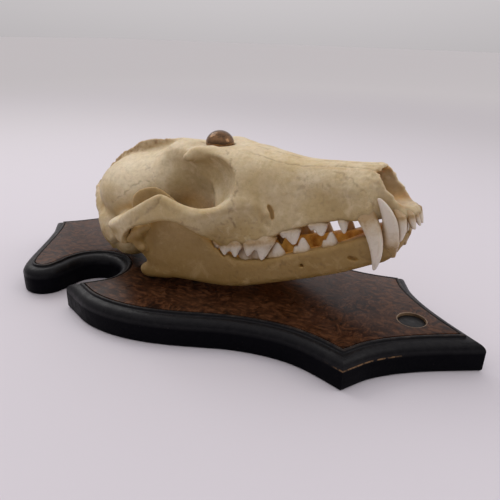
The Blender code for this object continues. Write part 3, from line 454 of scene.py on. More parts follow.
def upper_teeth():
    """Cusps of each upper tooth, from the front."""
    yield "incisor_1", [tooth_point((-1.3, 1.65, 0.4), (0.3, 1.65, -4.6), 2.7, 3.0, 0, (0, 0), 2.0, 0.5,
                                    0.6)]
    yield "incisor_2", [tooth_point((-2.2, 4.9, 0.6), (-0.7, 5.2, -4.8), 3.5, 3.3, 25, (0, 0), 2.2, 0.5,
                                    0.7)]
    yield "incisor_3", [tooth_point((-4.8, 7.5, 0.9), (-5.2, 8.4, -8.2), 4.8, 3.9, 40, (0.9, 0.4), 2.6,
                                    0.55,
                                    0.8)]
    yield "canine", [tooth_point((-14.8, 10.8, 1.0), (-13.8, 12.4, -17.4), 7.0, 4.6, -8, (2.3, 1.2),
                                 6.0, 0.62)]
    yield "premolar_1", [tooth_point((-23.8, 10.2, 0.0), (-23.8, 10.6, -4.6), 4.2, 2.6, -6)]
    yield "premolar_2", premolar(-32.9, 10.7, -0.8, 8.0, -4.6, (0.32, 0.9, 0.48))
    yield "premolar_3", premolar(-43.4, 13.1, -2.6, 8.8, -5.4, (0.32, 0.9, 0.48))
    yield "premolar_4", [tooth_point((-52.8, 16.2, -4.8), (-55.2, 17.8, -12.8), 8.6, 4.6, -20),
                         tooth_point((-58.4, 18.2, -5.4), (-60.2, 19.2, -10.8), 6.8, 4.2, -20),
                         tooth_point((-48.6, 12.2, -3.6), (-48.6, 12.6, -6.6), 3.6, 3.6)]
    yield "molar_1", [tooth_point((-64.8, 19.4, -5.0), (-65.2, 20.6, -10.8), 6.4, 4.6),
                      tooth_point((-69.4, 19.8, -5.0), (-69.8, 20.9, -10.0), 6.2, 4.4),
                      tooth_point((-66.8, 15.4, -4.4), (-66.8, 14.6, -7.8), 7.4, 7.0)]
    yield "molar_2", [tooth_point((-73.8, 19.3, -4.8), (-74.2, 20.3, -8.8), 5.4, 3.8),
                      tooth_point((-73.0, 15.8, -4.6), (-73.0, 15.4, -6.8), 4.6, 5.4)]


def lower_teeth():
    """Cusps of each lower tooth, which shut inside the upper ones."""
    yield "incisor_1", [tooth_point((-5.8, 1.4, -8.0), (-4.6, 1.3, -4.6), 2.4, 2.1)]
    yield "incisor_2", [tooth_point((-6.4, 3.7, -7.8), (-5.2, 3.7, -4.4), 2.6, 2.4)]
    yield "incisor_3", [tooth_point((-7.6, 5.9, -7.6), (-7.0, 6.0, -3.8), 2.8, 2.6, 20)]
    yield "canine", [tooth_point((-8.7, 8.6, -8.4), (-10.4, 10.5, 8.0), 7.4, 4.6, 12, (2.0, 0.3), 6.0,
                                 0.52)]
    for name, x, length, rise in (("premolar_2", -29.7, 6.6, 5.4), ("premolar_3", -40.2, 7.2, 5.6),
                                  ("premolar_4", -50.2, 8.4, 5.6)):
        y, z = float(JAW_LINE(x)) + 0.6, float(JAW_GUM(x)) - 0.4
        yield name, premolar(x, y, z, length, rise, (0.34, 0.7, 0.45))
    yield "molar_1", [tooth_point((-57.6, 14.2, -12.8), (-58.4, 14.2, -5.6), 7.6, 4.8, -12),
                      tooth_point((-63.6, 15.4, -13.0), (-63.8, 15.4, -8.4), 8.0, 5.4, -14)]
    yield "molar_2", [tooth_point((-70.8, 17.2, -12.4), (-70.8, 17.2, -9.0), 6.0, 5.0, -14)]
    yield "molar_3", [tooth_point((-75.8, 18.6, -10.6), (-75.8, 18.6, -8.4), 3.2, 3.2)]


def jaw_thickness(x, z):
    """The jaw thins toward the top of the coronoid blade."""
    return JAW_THICK(x) * (1 - 0.035 * np.clip(z + 2, 0, 16))


def build_mandible_field(cell):
    """The field of one mandible's bone, on the same half."""
    block = Block((-158, -cell, -22 - 6 * cell), (6, 42, 42), cell)
    block.join(plate(JAW_LOOP, JAW_LINE, jaw_thickness, 2.8))
    block.join(egg((-12.6, 6.2, -10.6), (6.6, 4.4, 4.8), 20), 2.5, (-24, -1, -22), (0, 16, 0))
    neck = rod([(CONDYLE_X + 0.6, 23.0, CONDYLE_Z - 0.2), (CONDYLE_X - 0.6, CONDYLE_END, CONDYLE_Z)],
               (CONDYLE_RADIUS - 0.4, CONDYLE_RADIUS))
    block.join(neck, 1.6, (-114, 16, -6), (-92, 40, 12))
    rear_edge = rod([(-104.6, 26.2, -8.0), (-104.8, 29.4, -3.0), (CONDYLE_X, CONDYLE_END, CONDYLE_Z - 1.2)],
                    (1.5, 1.7, 2.2))
    block.join(rear_edge, 3.0, (-114, 18, -14), (-92, 40, 12))
    block.join(rod([(-107, 31.6, 1.0), (-95.6, 32.4, 5.4)], (2.3, 1.9)), 1.2, (-116, 20, -10),
               (-88, 40, 14))
    block.join(rod([(-106, 31, 0.6), (-102.6, 30.2, -4.0)], (2.0, 1.8)), 2.0, (-116, 20, -12),
               (-92, 40, 10))
    heel = rod([(-97, 25.2, -16.4), (-106.8, 26.4, -15.0)], (2.0, 2.2))
    block.join(heel, 2.0, (-114, 18, -22), (-90, 34, -8))
    block.cut(egg((-89.0, 29.4, -1), (12.5, 3.2, 11.0), 20), 1.5, (-110, 22, -18), (-72, 40, 16))
    block.cut(egg((-21.6, 11.2, -13.6), (2.0, 1.8, 0.8), -12), 0.2, (-26, 6, -18), (-16, 16, -8))
    block.cut(egg((-40.6, 13.6, -15.8), (0.9, 1.6, 0.6)), 0.2, (-44, 9, -20), (-36, 18, -10))
    block.cut(before_chin, 0.8)
    return block


def before_chin(x, y, z):
    """The space in front of the rounded chin."""
    return -(x + 3.6 + CHIN_CURVE * y * y)


def across_middle(x, y, z):
    """The space beyond the plane where the two halves of the jaw meet."""
    return y - HALF_GAP


def below_rest(x, y, z):
    """The space below the level on which the jaw rests."""
    return x * math.sin(SNOUT_RISE) + z * math.cos(SNOUT_RISE) + rest_level()


def shut_jaw(block, cranium):
    """Trim a mandible at the mid plane, at the veneer and a small gap away from the cranium."""
    block.cut(across_middle, 1.0)
    rows = block.axes[2].searchsorted(cranium.axes[2][0] - block.cell / 2)
    depth = min(block.field.shape[2] - rows, cranium.field.shape[2])
    near = cranium.field[:, :, :depth] - JAW_GAP
    shared = block.field[:, :, rows:rows + depth]
    block.field[:, :, rows:rows + depth] = np.maximum(shared, -near)
    block.cut(below_rest)


def rest_level():
    """Height of the snout's origin above the lowest the bones may reach, just over the veneer."""
    return SNOUT_HEIGHT - BOARD_THICK - TOUCH_GAP


def largest_shell(mesh):
    """Keep the largest closed surface of a mesh."""
    bm = bmesh.new()
    bm.from_mesh(mesh)
    unseen = set(bm.verts)
    shells = []
    while unseen:
        front = [unseen.pop()]
        shell = list(front)
        while front:
            vert = front.pop()
            for edge in vert.link_edges:
                other = edge.other_vert(vert)
                if other in unseen:
                    unseen.remove(other)
                    front.append(other)
                    shell.append(other)
        shells.append(shell)
    shells.sort(key=len, reverse=True)
    for shell in shells[1:]:
        bmesh.ops.delete(bm, geom=shell, context="VERTS")
    if sum(face.calc_area() * face.normal.dot(face.calc_center_median()) for face in bm.faces) < 0:
        bmesh.ops.reverse_faces(bm, faces=bm.faces)
    bm.to_mesh(mesh)
    bm.free()


def skull_to_part():
    """Matrix from the skull's frame in millimetres to the part's frame in metres."""
    place = Matrix.Translation(Vector((SNOUT_X, 0, SNOUT_HEIGHT)) / 1000)
    return place @ Matrix.Rotation(-SNOUT_RISE, 4, "Y") @ Matrix.Scale(0.001, 4)


def arc(centre, radius, start, end, steps):
    """Points of an arc, its angles in degrees."""
    angles = [math.radians(start + (end - start) * i / steps) for i in range(steps + 1)]
    return [(centre[0] + radius * math.cos(a), centre[1] + radius * math.sin(a)) for a in angles]


def through(points, steps=4):
    """An open smooth line through given corners."""
    ends = [points[0]] + list(points) + [points[-1]]
    line = []
    for before, start, end, after in zip(ends, ends[1:], ends[2:], ends[3:]):
        for step in range(steps):
            t = step / steps
            line.append(tuple(0.5 * (2 * s + (e - b) * t + (2 * b - 5 * s + 4 * e - a) * t * t
                                     + (3 * s - b - 3 * e + a) * t ** 3)
                              for b, s, e, a in zip(before, start, end, after)))
    line.append(tuple(points[-1]))
    return line


def plaque_outline(detail=2):
    """The veneer's outline, from the rear point along the left side to the front and back."""
    rear = through([(-102.6, 0), (-97.0, 6.4), (-89.6, 17.4), (-78.6, 35.4), (-74.1, 41.6)], detail)
    lobe = arc((-70.9, 39.0), 4.1, 126, -4, 3 * detail)
    bay = arc((-49.4, 31.2), 17.4, 170, 368, 7 * detail)
    tip = through([(-32.2, 33.6), (-33.4, 37.7), (-38.6, 45.2)], detail)
    side = through([(-38.6, 45.2), (-29.0, 48.3), (-18.5, 48.8), (-7.2, 46.9), (4.2, 42.9), (15.0, 37.9),
                    (24.0, 33.7), (33.0, 30.7), (42.0, 28.8), (50.5, 28.2), (59.5, 29.2), (68.6, 31.4)],
                   detail)
    front = through([(68.6, 31.4), (72.6, 24.3), (78.7, 17.1), (85.5, 10.9), (92.6, 5.4), (100.4, 0)],
                    detail)
    half = rear[:-1] + lobe + bay + tip[1:-1] + side[:-1] + front
    return half + [(x, -y) for x, y in reversed(half[1:-1])]


def offset_outline(outline, distance):
    """Move a clockwise outline outward, mitred at its corners."""
    moved = []
    for before, here, after in zip(outline[-1:] + outline[:-1], outline, outline[1:] + outline[:1]):
        first = (Vector(here) - Vector(before)).normalized()
        second = (Vector(after) - Vector(here)).normalized()
        outward = Vector((-first.y - second.y, first.x + second.x)).normalized()
        reach = distance / max(outward.dot(Vector((-first.y, first.x))), 0.4)
        moved.append((here[0] + outward.x * reach, here[1] + outward.y * reach))
    return moved


# Fineness of the looks
BONE_CELL = 0.42
TOOTH_CELL = 0.2
OUTLINE_DETAIL = 5
EDGE_INSET = 0.05
DOME_SIDES = 64

# Seams between the bones: x, distance from the mid plane and z
CHEEK_SEAM = [(-100, 36.6, 7.2), (-96, 36.6, 9.6), (-91, 36.6, 11.8), (-87, 36.2, 13.8),
              (-83.4, 35.4, 16.4)]
CHEEK_EDGE_SEAM = [(-77, 33.5, 6.5), (-74, 30.5, 3.4), (-71, 27.5, 0.6), (-69, 24.5, -2.5), (-68, 22.3, -5)]
EYE_RIM_SEAM = [(-67.4, 10.3, 29.3), (-65, 13.5, 26.2), (-62.1, 16.4, 22.1), (-60.4, 18, 16.7),
                (-60.4, 19.9, 13.4), (-61.3, 21.9, 11.3), (-62.6, 23, 6.2), (-61.9, 21.4, 1.2)]
BRAIN_SEAM = [(-115.5, 0, 35.9), (-113.3, 3, 30.9), (-107.4, 13.4, 26.7), (-103.9, 15.6, 23.9),
              (-100.9, 16.4, 20.6), (-100.4, 17.1, 18.2), (-98, 17, 12)]
TEMPLE_SEAM = [(-100.4, 17.1, 18.2), (-105.2, 18.5, 20.4), (-109.6, 21.3, 19.6), (-115.1, 23.1, 16.9),
               (-121.9, 23.3, 13.8), (-128, 22, 9)]
NOSE_SEAM = [(-10, 5.8, 16.2), (-19.7, 4.8, 17.8), (-28.6, 5.1, 18.9), (-39.6, 6.5, 20), (-48.8, 7.7, 23.1),
             (-59, 7.7, 27)]
SNOUT_SEAM = [(-11.8, 10.6, 1.5), (-12.8, 10.7, 5.7), (-14.5, 11.5, 10.4), (-19.4, 9.3, 14.3),
              (-26, 7.3, 17.4)]
ROOF_SEAM = [(-8, 0, 17), (-25, 0, 19.3), (-44, 0, 22.7), (-58, 0, 27.5), (-76, 0, 30), (-96, 0, 34)]
PALATE_SEAM = [(-4, 0, 1.6), (-32, 0, 3.4), (-76, 0, -1.6)]
EYE_POCKET = [(-90, 11, 10), (-86, 9.6, 8), (-82, 9.4, 6)]
BULLA_PLACE = (-125.5, 13.2, -6)
TEMPLE_LINE = [(-84, 17.6, 28.4), (-90, 12.4, 31), (-96, 8, 32.4), (-103, 3.4, 34.2), (-108, 1.2, 35)]

# Low crowns that join the cusps of the upper cheek teeth: centre, radii and lean
CROWNS = {"premolar_4": ((-55.4, 16.9, -6.4), (6.8, 2.0, 2.6), 8),
          "molar_1": ((-67.0, 19.2, -6.4), (5.4, 2.4, 2.5)),
          "molar_2": ((-73.6, 18.6, -5.8), (3.1, 2.2, 1.9))}

# Camera and light, worked out from the photo
LENS = 36.24
SENSOR = 36.0
CAMERA_PLACE = (0.1122, -0.1712, 0.1085)
CAMERA_DOWN = math.radians(23.18)
CAMERA_LEFT = math.radians(30.02)
CAMERA_ROLL = math.radians(1.62)


def sample(block, points):
    """Field values at points in the skull's frame, read between the block's sample points."""
    spots = np.column_stack((points[:, 0], np.abs(points[:, 1]), points[:, 2]))
    spots = (spots - np.array([axis[0] for axis in block.axes])) / block.cell
    counts = np.array(block.field.shape)
    inside = np.all((spots >= 0) & (spots < counts - 1), axis=1)
    base = np.clip(spots.astype(int), 0, counts - 2)
    share = np.clip(spots - base, 0, 1)
    total = np.zeros(len(points))
    for corner in np.ndindex(2, 2, 2):
        weight = np.prod(np.where(corner, share, 1 - share), axis=1)
        total += weight * block.field[tuple((base + corner).T)]
    return np.where(inside, total, FAR)


def lattice_noise(points, size, seed=0):
    """Smooth noise from 0 to 1 whose bumps have one size, at points in millimetres."""
    spots = points / size + seed * 17.3
    base = np.floor(spots).astype(np.int64)
    share = spots - base
    share = share * share * (3 - 2 * share)
    total = np.zeros(len(points))
    for corner in np.ndindex(2, 2, 2):
        cell = base + corner
        mixed = (cell[:, 0] * 73856093) ^ (cell[:, 1] * 19349663) ^ (cell[:, 2] * 83492791)
        mixed = ((mixed ^ (mixed >> 13)) * 1274126177) & 0x7FFFFFFF
        total += np.prod(np.where(corner, share, 1 - share), axis=1) * (mixed ^ (mixed >> 15)) / 0x7FFFFFFF
    return total


def line_distance(points, line):
    """Distance from points to a chain of straight runs."""
    nearest = np.full(len(points), 1e6)
    for start, end in zip(np.array(line[:-1], float), np.array(line[1:], float)):
        run = end - start
        t = np.clip((points - start) @ run / (run @ run), 0, 1)
        nearest = np.minimum(nearest, ((points - start - t[:, None] * run) ** 2).sum(axis=1))
    return np.sqrt(nearest)


def field_slopes(block, points):
    """Unit vectors that point out of the surface."""
    step = 0.35
    slopes = np.zeros((len(points), 3))
    for axis in range(3):
        move = np.zeros(3)
        move[axis] = step
        slopes[:, axis] = sample(block, points + move) - sample(block, points - move)
    return slopes / (np.linalg.norm(slopes, axis=1)[:, None] + 1e-9)


def enclosure(points, slopes, blocks):
    """How shut in each point is by the bones about it, from 0 in the open to 1."""
    total = np.zeros(len(points))
    for reach, share in ((1.0, 0.3), (2.6, 0.35), (5.5, 0.35)):
        room = np.full(len(points), FAR)
        for block in blocks:
            room = np.minimum(room, sample(block, points + slopes * reach))
        total += share * np.clip(1 - room / reach, 0, 1.4)
    return np.clip(total, 0, 1)


def field_object(name, block, mirrored):
    """A mesh object of a block's surface, in the skull's frame, whole or as the half it holds."""
    field = block.field
    low = list(block.low)
    if mirrored:
        field = np.concatenate([field[:, :1:-1, :], field[:, 1:, :]], axis=1)
        low[1] = -block.cell * (block.field.shape[1] - 2)
    grid = openvdb.FloatGrid(FAR)
    grid.copyFromArray(np.clip(field, -FAR, FAR).astype(np.float64))
    points, triangles, quads = grid.convertToPolygons(isovalue=0.0, adaptivity=0.0)
    points = points * block.cell + np.array(low)
    mesh = bpy.data.meshes.new(name)
    mesh.from_pydata(points.tolist(), [], [f[::-1] for f in quads.tolist() + triangles.tolist()])
    largest_shell(mesh)
    mesh.shade_smooth()
    obj = bpy.data.objects.new(name, mesh)
    bpy.context.scene.collection.objects.link(obj)
    return obj


def mesh_points(mesh):
    points = np.zeros(len(mesh.vertices) * 3)
    mesh.vertices.foreach_get("co", points)
    return points.reshape(-1, 3)


def set_values(mesh, name, values):
    layer = mesh.attributes.new(name, "FLOAT", "POINT")
    layer.data.foreach_set("value", np.asarray(values, dtype=np.float32))


def seam_groove(points, line, width, wander=0.9):
    """1 on a wavy seam and 0 away from it."""
    shift = np.column_stack([lattice_noise(points, 1.7, seed) for seed in (1, 2, 3)]) - 0.5
    shift += 0.5 * (np.column_stack([lattice_noise(points, 0.8, seed) for seed in (4, 5, 6)]) - 0.5)
    folded = points * (1, 0, 1) + np.abs(points) * (0, 1, 0)
    return np.exp(-(line_distance(folded + shift * wander * 2, line) / width) ** 2)


def bony_waves(points):
    """Gentle unevenness of dry bone, in millimetres outward."""
    return (0.24 * (lattice_noise(points, 6.5) - 0.5) + 0.07 * (lattice_noise(points, 2.4, 1) - 0.5)
            + 0.03 * (lattice_noise(points, 1.1, 2) - 0.5))


def cranium_detail(points):
    """Outward shift, seams and the rough crest of the cranium."""
    x, side, z = points[:, 0], np.abs(points[:, 1]), points[:, 2]
    seams = np.zeros(len(points))
    for line, width, wander in ((CHEEK_SEAM, 0.7, 0.7), (CHEEK_EDGE_SEAM, 0.6, 0.8),
                                (EYE_RIM_SEAM, 0.5, 1.0),
                                (BRAIN_SEAM, 0.45, 1.8),
                                (TEMPLE_SEAM, 0.4, 0.9), (NOSE_SEAM, 0.4, 0.5), (SNOUT_SEAM, 0.4, 0.7),
                                (ROOF_SEAM, 0.4, 0.7), (PALATE_SEAM, 0.4, 0.4)):
        seams = np.maximum(seams, seam_groove(points, line, width, wander))
    behind = np.clip((-96 - x) / 8, 0, 1)
    above = np.clip((z - crest_foot(x)) / 1.6, 0, 1)
    crest = behind * above * np.clip((3.6 - side) / 1.6, 0, 1)
    nape = line_distance(np.column_stack((x, side, z)), NAPE_LINE)
    crest = np.maximum(crest, 0.8 * np.exp(-(nape / 2.6) ** 2))
    lift = bony_waves(points) - 0.13 * seams
    lift += crest * (0.75 * (lattice_noise(points, 1.9, 7) - 0.5)
                     + 0.45 * (lattice_noise(points, 0.95, 8) - 0.5))
    temple = line_distance(np.column_stack((x, side, z)), TEMPLE_LINE)
    lift += 0.3 * np.exp(-(temple / 0.9) ** 2)
    cheek = np.exp(-((x + 62) / 14) ** 2) * np.clip((9 - z) / 6, 0, 1) * np.clip((side - 12) / 4, 0, 1)
    snout = np.clip((x + 46) / 8, 0, 1) * np.clip((side - 7) / 2, 0, 1)
    pitted = np.clip(cheek + 0.6 * snout, 0, 1)
    pits = np.clip(lattice_noise(points, 0.95, 9) - 0.62, 0, 1) * 2.6
    lift -= 0.3 * pitted * pits
    streaks = lattice_noise(points * (0.16, 1, 1), 0.9, 10) - 0.5
    along_snout = np.clip((x + 72) / 10, 0, 1) * np.clip((z - 6) / 6, 0, 1)
    lift += 0.1 * along_snout * streaks
    nose_rim = np.clip((x + 16) / 3, 0, 1) * np.clip((z - 9) / 3, 0, 1)
    lift += 0.9 * nose_rim * (lattice_noise(points, 1.3, 12) - 0.5)
    lift -= 0.25 * np.exp(-(line_distance(np.column_stack((x, side, z)), CHEEK_SEAM) / 0.9) ** 2)
    return lift, np.clip(0.45 * seams + (0.3 * snout + 0.55 * cheek) * pits, 0, 1), crest


def crest_foot(x):
    """Height at which the crest rises out of the braincase."""
    return smooth_curve((-90, 33.2), (-104, 33.6), (-118, 30.6), (-130, 26.5), (-140, 21.5), (-150, 15))(x)


def jaw_detail(points):
    """Outward shift and stains of a lower jaw."""
    x, side, z = points[:, 0], np.abs(points[:, 1]), points[:, 2]
    body = np.clip((x + 82) / 20, 0, 1)
    pits = np.clip(lattice_noise(points, 0.9, 9) - 0.62, 0, 1) * 2.6
    streaks = lattice_noise(points * (0.2, 1, 1), 1.0, 10) - 0.5
    lift = bony_waves(points) - 0.3 * body * pits + 0.12 * body * streaks
    return lift, 0.35 * body * pits, np.zeros(len(points))


def inside_mouth(points):
    """Where the painted glow goes: 1 on the surfaces that face the space between the tooth rows, half in
    the nose and a little deep in each eye socket.
    """
    x, side, z = points[:, 0], np.abs(points[:, 1]), points[:, 2]
    row = np.where(z > -6, PALATE_WIDTH(x) + 1.2, JAW_LINE(x) + 1.0)
    between = np.clip((row - side) / 1.2, 0, 1) * np.clip((PALATE_LINE(x) + 2.5 - z) / 1.5, 0, 1)
    between *= np.clip((x + 84) / 10, 0, 1) * np.clip((-9 - x) / 4, 0, 1)
    nose = np.clip((6.8 - side) / 1.2, 0, 1) * np.clip((TOP_LINE(x) - 1.0 - z) / 0.8, 0, 1)
    nose *= np.clip((z - 2.6) / 1.5, 0, 1) * np.clip((x + 46) / 4, 0, 1)
    pocket = line_distance(np.column_stack((x, side, z)), EYE_POCKET)
    return np.maximum(np.maximum(between, 0.5 * nose), 0.28 * np.exp(-(pocket / 5.0) ** 2))


def dress_bone(obj, block, blocks, detail, roots):
    """Give a bone's surface its relief and the values that its material reads."""
    mesh = obj.data
    points = mesh_points(mesh)
    slopes = field_slopes(block, points)
    lift, stain, crest = detail(points)
    # How shut in a point is sets the painted shade in its hollows; on a jaw it fades toward the top.
    shut = enclosure(points, slopes, blocks)
    if detail is jaw_detail:
        shut *= np.clip(1 - (points[:, 2] - 3) / 6, 0.3, 1)
    root = np.clip(1 - sample(roots, points) / 0.9, 0, 1)
    mouth = inside_mouth(points)
    lift = lift * np.clip(1.2 - 0.6 * shut, 0.3, 1) - 0.12 * root
    points = points + slopes * lift[:, None]
    mesh.vertices.foreach_set("co", points.ravel())
    # Painted light and shade: surfaces that face down or sit low turn ochre, the upward-facing braincase
    # stays pale as if lit, broad noise adds random tone and the bulla stays paler.
    up = slopes @ np.array([math.sin(SNOUT_RISE), 0, math.cos(SNOUT_RISE)])
    lower = np.clip((9 - points[:, 2]) / 30, 0, 1)
    painted_dome_light = np.clip((-92 - points[:, 0]) / 14, 0, 1) * np.clip(up * 2, 0, 1)
    painted_shade_and_tone = 0.46 - 0.4 * up + 0.5 * lower - 0.2 * painted_dome_light + 0.4 * (lattice_noise(points, 11, 11) - 0.5)
    bulla = np.exp(-(np.linalg.norm(points * (1, 0, 1) + np.abs(points) * (0, 1, 0) - BULLA_PLACE,
                                    axis=1) / 9) ** 2)
    painted_shade_and_tone = painted_shade_and_tone - 0.5 * bulla
    shut = shut * (1 - 0.6 * bulla)
    set_values(mesh, "shut", shut)
    set_values(mesh, "mouth", mouth)
    set_values(mesh, "stain", np.clip(np.maximum(stain, 0.35 * root), 0, 1))
    set_values(mesh, "crest", crest)
    set_values(mesh, "painted_shade_and_tone", np.clip(painted_shade_and_tone, 0, 1))


def place_in_row(obj, mirror=False):
    """Move a piece from the skull's frame to the row frame, on the left or mirrored to the right."""
    if mirror:
        obj.data.transform(Matrix.Scale(-1, 4, (0, 1, 0)))
        obj.data.flip_normals()
    obj.data.transform(skull_to_part())
    obj.data.update()


def tooth_block(cusps, cell):
    """One tooth's own field, about its cusps."""
    block = Block((-84, -1, -22), (6, 26, 12), 1.0)
    for cusp in cusps:
        block.join(cusp)
    held = np.argwhere(block.field < 1.5)
    low = [float(axis[i]) - 1.5 for axis, i in zip(block.axes, held.min(axis=0))]
    high = [float(axis[i]) + 1.5 for axis, i in zip(block.axes, held.max(axis=0))]
    fine = Block(low, high, cell)
    for cusp in cusps:
        fine.join(cusp, 0.7)
    return fine


def clear_of(block, other, gap):
    """Trim a small block so that it stays a gap away from another bone."""
    x, y, z = np.meshgrid(*block.axes, indexing="ij")
    points = np.column_stack((x.ravel(), y.ravel(), z.ravel()))
    near = sample(other, points).reshape(block.field.shape) - gap
    block.field = np.maximum(block.field, -near)


def dress_tooth(obj, block, gum, rise, blocks):
    """Give a tooth fine wrinkles, and the height above the gum that its material reads."""
    mesh = obj.data
    points = mesh_points(mesh)
    slopes = field_slopes(block, points)
    ridges = lattice_noise(points * (1, 1, 0.22), 0.7, 3) - 0.5
    lift = 0.07 * ridges + 0.05 * (lattice_noise(points, 1.6, 4) - 0.5)
    shut = enclosure(points + slopes * 0.3, slopes, blocks)
    points = points + slopes * lift[:, None]
    mesh.vertices.foreach_set("co", points.ravel())
    set_values(mesh, "grow", np.clip((points[:, 2] - gum) / rise, 0, 1))
    set_values(mesh, "shut", shut)


def make_teeth(row, teeth, blocks, other, look):
    """The teeth of one row on both sides, each a piece of its own."""
    made = []
    for name, cusps in teeth:
        if row == "upper" and name in CROWNS:
            cusps = cusps + [egg(*CROWNS[name])]
        block = tooth_block(cusps, TOOTH_CELL)
        if other is not None:
            clear_of(block, other, JAW_GAP * 0.6)
        for side in ("left", "right"):
            piece = field_object(f"{row}_{side}_{name}", block, False)
            heights = mesh_points(piece.data)[:, 2]
            if row == "upper":
                gum, rise = min(heights.max() - 3.0, 1.0), heights.min() - min(heights.max() - 3.0, 1.0)
            else:
                gum, rise = heights.min() + 4.0, heights.max() - heights.min() - 4.0
            if row == "upper" and name in CROWNS:
                gum, rise = gum - 2.0, rise + 2.0
            dress_tooth(piece, block, gum, rise, blocks)
            place_in_row(piece, side == "right")
            piece.data.materials.append(look)
            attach(piece, "root")
            made.append(piece)
    return made


def all_teeth(teeth, cell):
    """One coarse block of a whole row, for gaps and stains."""
    block = Block((-158, -cell, -22), (6, 42, 42), cell)
    for _, cusps in teeth:
        for cusp in cusps:
            block.join(cusp, 0.35, (-84, -1, -21), (4, 30, 12))
    return block


class Look:
    """A node material in the making."""

    def __init__(self, name):
        self.material = bpy.data.materials.new(name)
        self.material.use_nodes = True
        self.tree = self.material.node_tree
        self.shader = self.tree.nodes["Principled BSDF"]
        self.place = self.tree.nodes.new("ShaderNodeTexCoord").outputs["Object"]

    def fill(self, socket, value):
        if isinstance(value, bpy.types.NodeSocket):
            self.tree.links.new(value, socket)
        elif isinstance(value, tuple) and len(value) == 3 and socket.type == "RGBA":
            socket.default_value = (*value, 1.0)
        else:
            socket.default_value = value

    def set(self, name, value):
        self.fill(self.shader.inputs[name], value)

    def stretched(self, scale):
        node = self.tree.nodes.new("ShaderNodeMapping")
        self.fill(node.inputs["Vector"], self.place)
        node.inputs["Scale"].default_value = scale
        return node.outputs["Vector"]

    def noise(self, scale, detail=4.0, rough=0.55, warp=0.0, place=None):
        node = self.tree.nodes.new("ShaderNodeTexNoise")
        self.fill(node.inputs["Vector"], place or self.place)
        node.inputs["Scale"].default_value = scale
        node.inputs["Detail"].default_value = detail
        node.inputs["Roughness"].default_value = rough
        node.inputs["Distortion"].default_value = warp
        return node.outputs["Fac"]

    def cells(self, scale, place=None):
        node = self.tree.nodes.new("ShaderNodeTexVoronoi")
        self.fill(node.inputs["Vector"], place or self.place)
        node.inputs["Scale"].default_value = scale
        return node.outputs["Distance"]

    def value(self, name):
        node = self.tree.nodes.new("ShaderNodeAttribute")
        node.attribute_name = name
        return node.outputs["Fac"]

    def height(self):
        node = self.tree.nodes.new("ShaderNodeSeparateXYZ")
        self.fill(node.inputs[0], self.place)
        return node.outputs["Z"]

    def distance(self, point):
        node = self.tree.nodes.new("ShaderNodeVectorMath")
        node.operation = "DISTANCE"
        self.fill(node.inputs[0], self.place)
        node.inputs[1].default_value = point
        return node.outputs["Value"]

    def sum(self, operation, first, second):
        node = self.tree.nodes.new("ShaderNodeMath")
        node.operation = operation
        self.fill(node.inputs[0], first)
        self.fill(node.inputs[1], second)
        return node.outputs[0]

    def ramp(self, factor, stops, smooth=False):
        node = self.tree.nodes.new("ShaderNodeValToRGB")
        if smooth:
            node.color_ramp.interpolation = "EASE"
        self.fill(node.inputs["Fac"], factor)
        marks = node.color_ramp.elements
        while len(marks) < len(stops):
            marks.new(0.5)
        for mark, (place, colour) in zip(marks, stops):
            mark.position = place
            mark.color = (*colour, 1.0) if isinstance(colour, tuple) else (colour, colour, colour, 1.0)
        return node.outputs["Color"]

    def spread(self, factor, low, high, to_low=0.0, to_high=1.0):
        node = self.tree.nodes.new("ShaderNodeMapRange")
        for name, number in (("From Min", low), ("From Max", high), ("To Min", to_low),
                             ("To Max", to_high)):
            node.inputs[name].default_value = number
        self.fill(node.inputs["Value"], factor)
        return node.outputs["Result"]

    def mix(self, factor, first, second, kind="MIX"):
        node = self.tree.nodes.new("ShaderNodeMix")
        node.data_type = "RGBA"
        node.blend_type = kind
        self.fill(node.inputs["Factor"], factor)
        self.fill(node.inputs["A"], first)
        self.fill(node.inputs["B"], second)
        return node.outputs["Result"]

    def bump(self, height, distance, strength=1.0, normal=None):
        node = self.tree.nodes.new("ShaderNodeBump")
        node.inputs["Strength"].default_value = strength
        node.inputs["Distance"].default_value = distance
        self.fill(node.inputs["Height"], height)
        if normal is not None:
            self.fill(node.inputs["Normal"], normal)
        return node.outputs["Normal"]


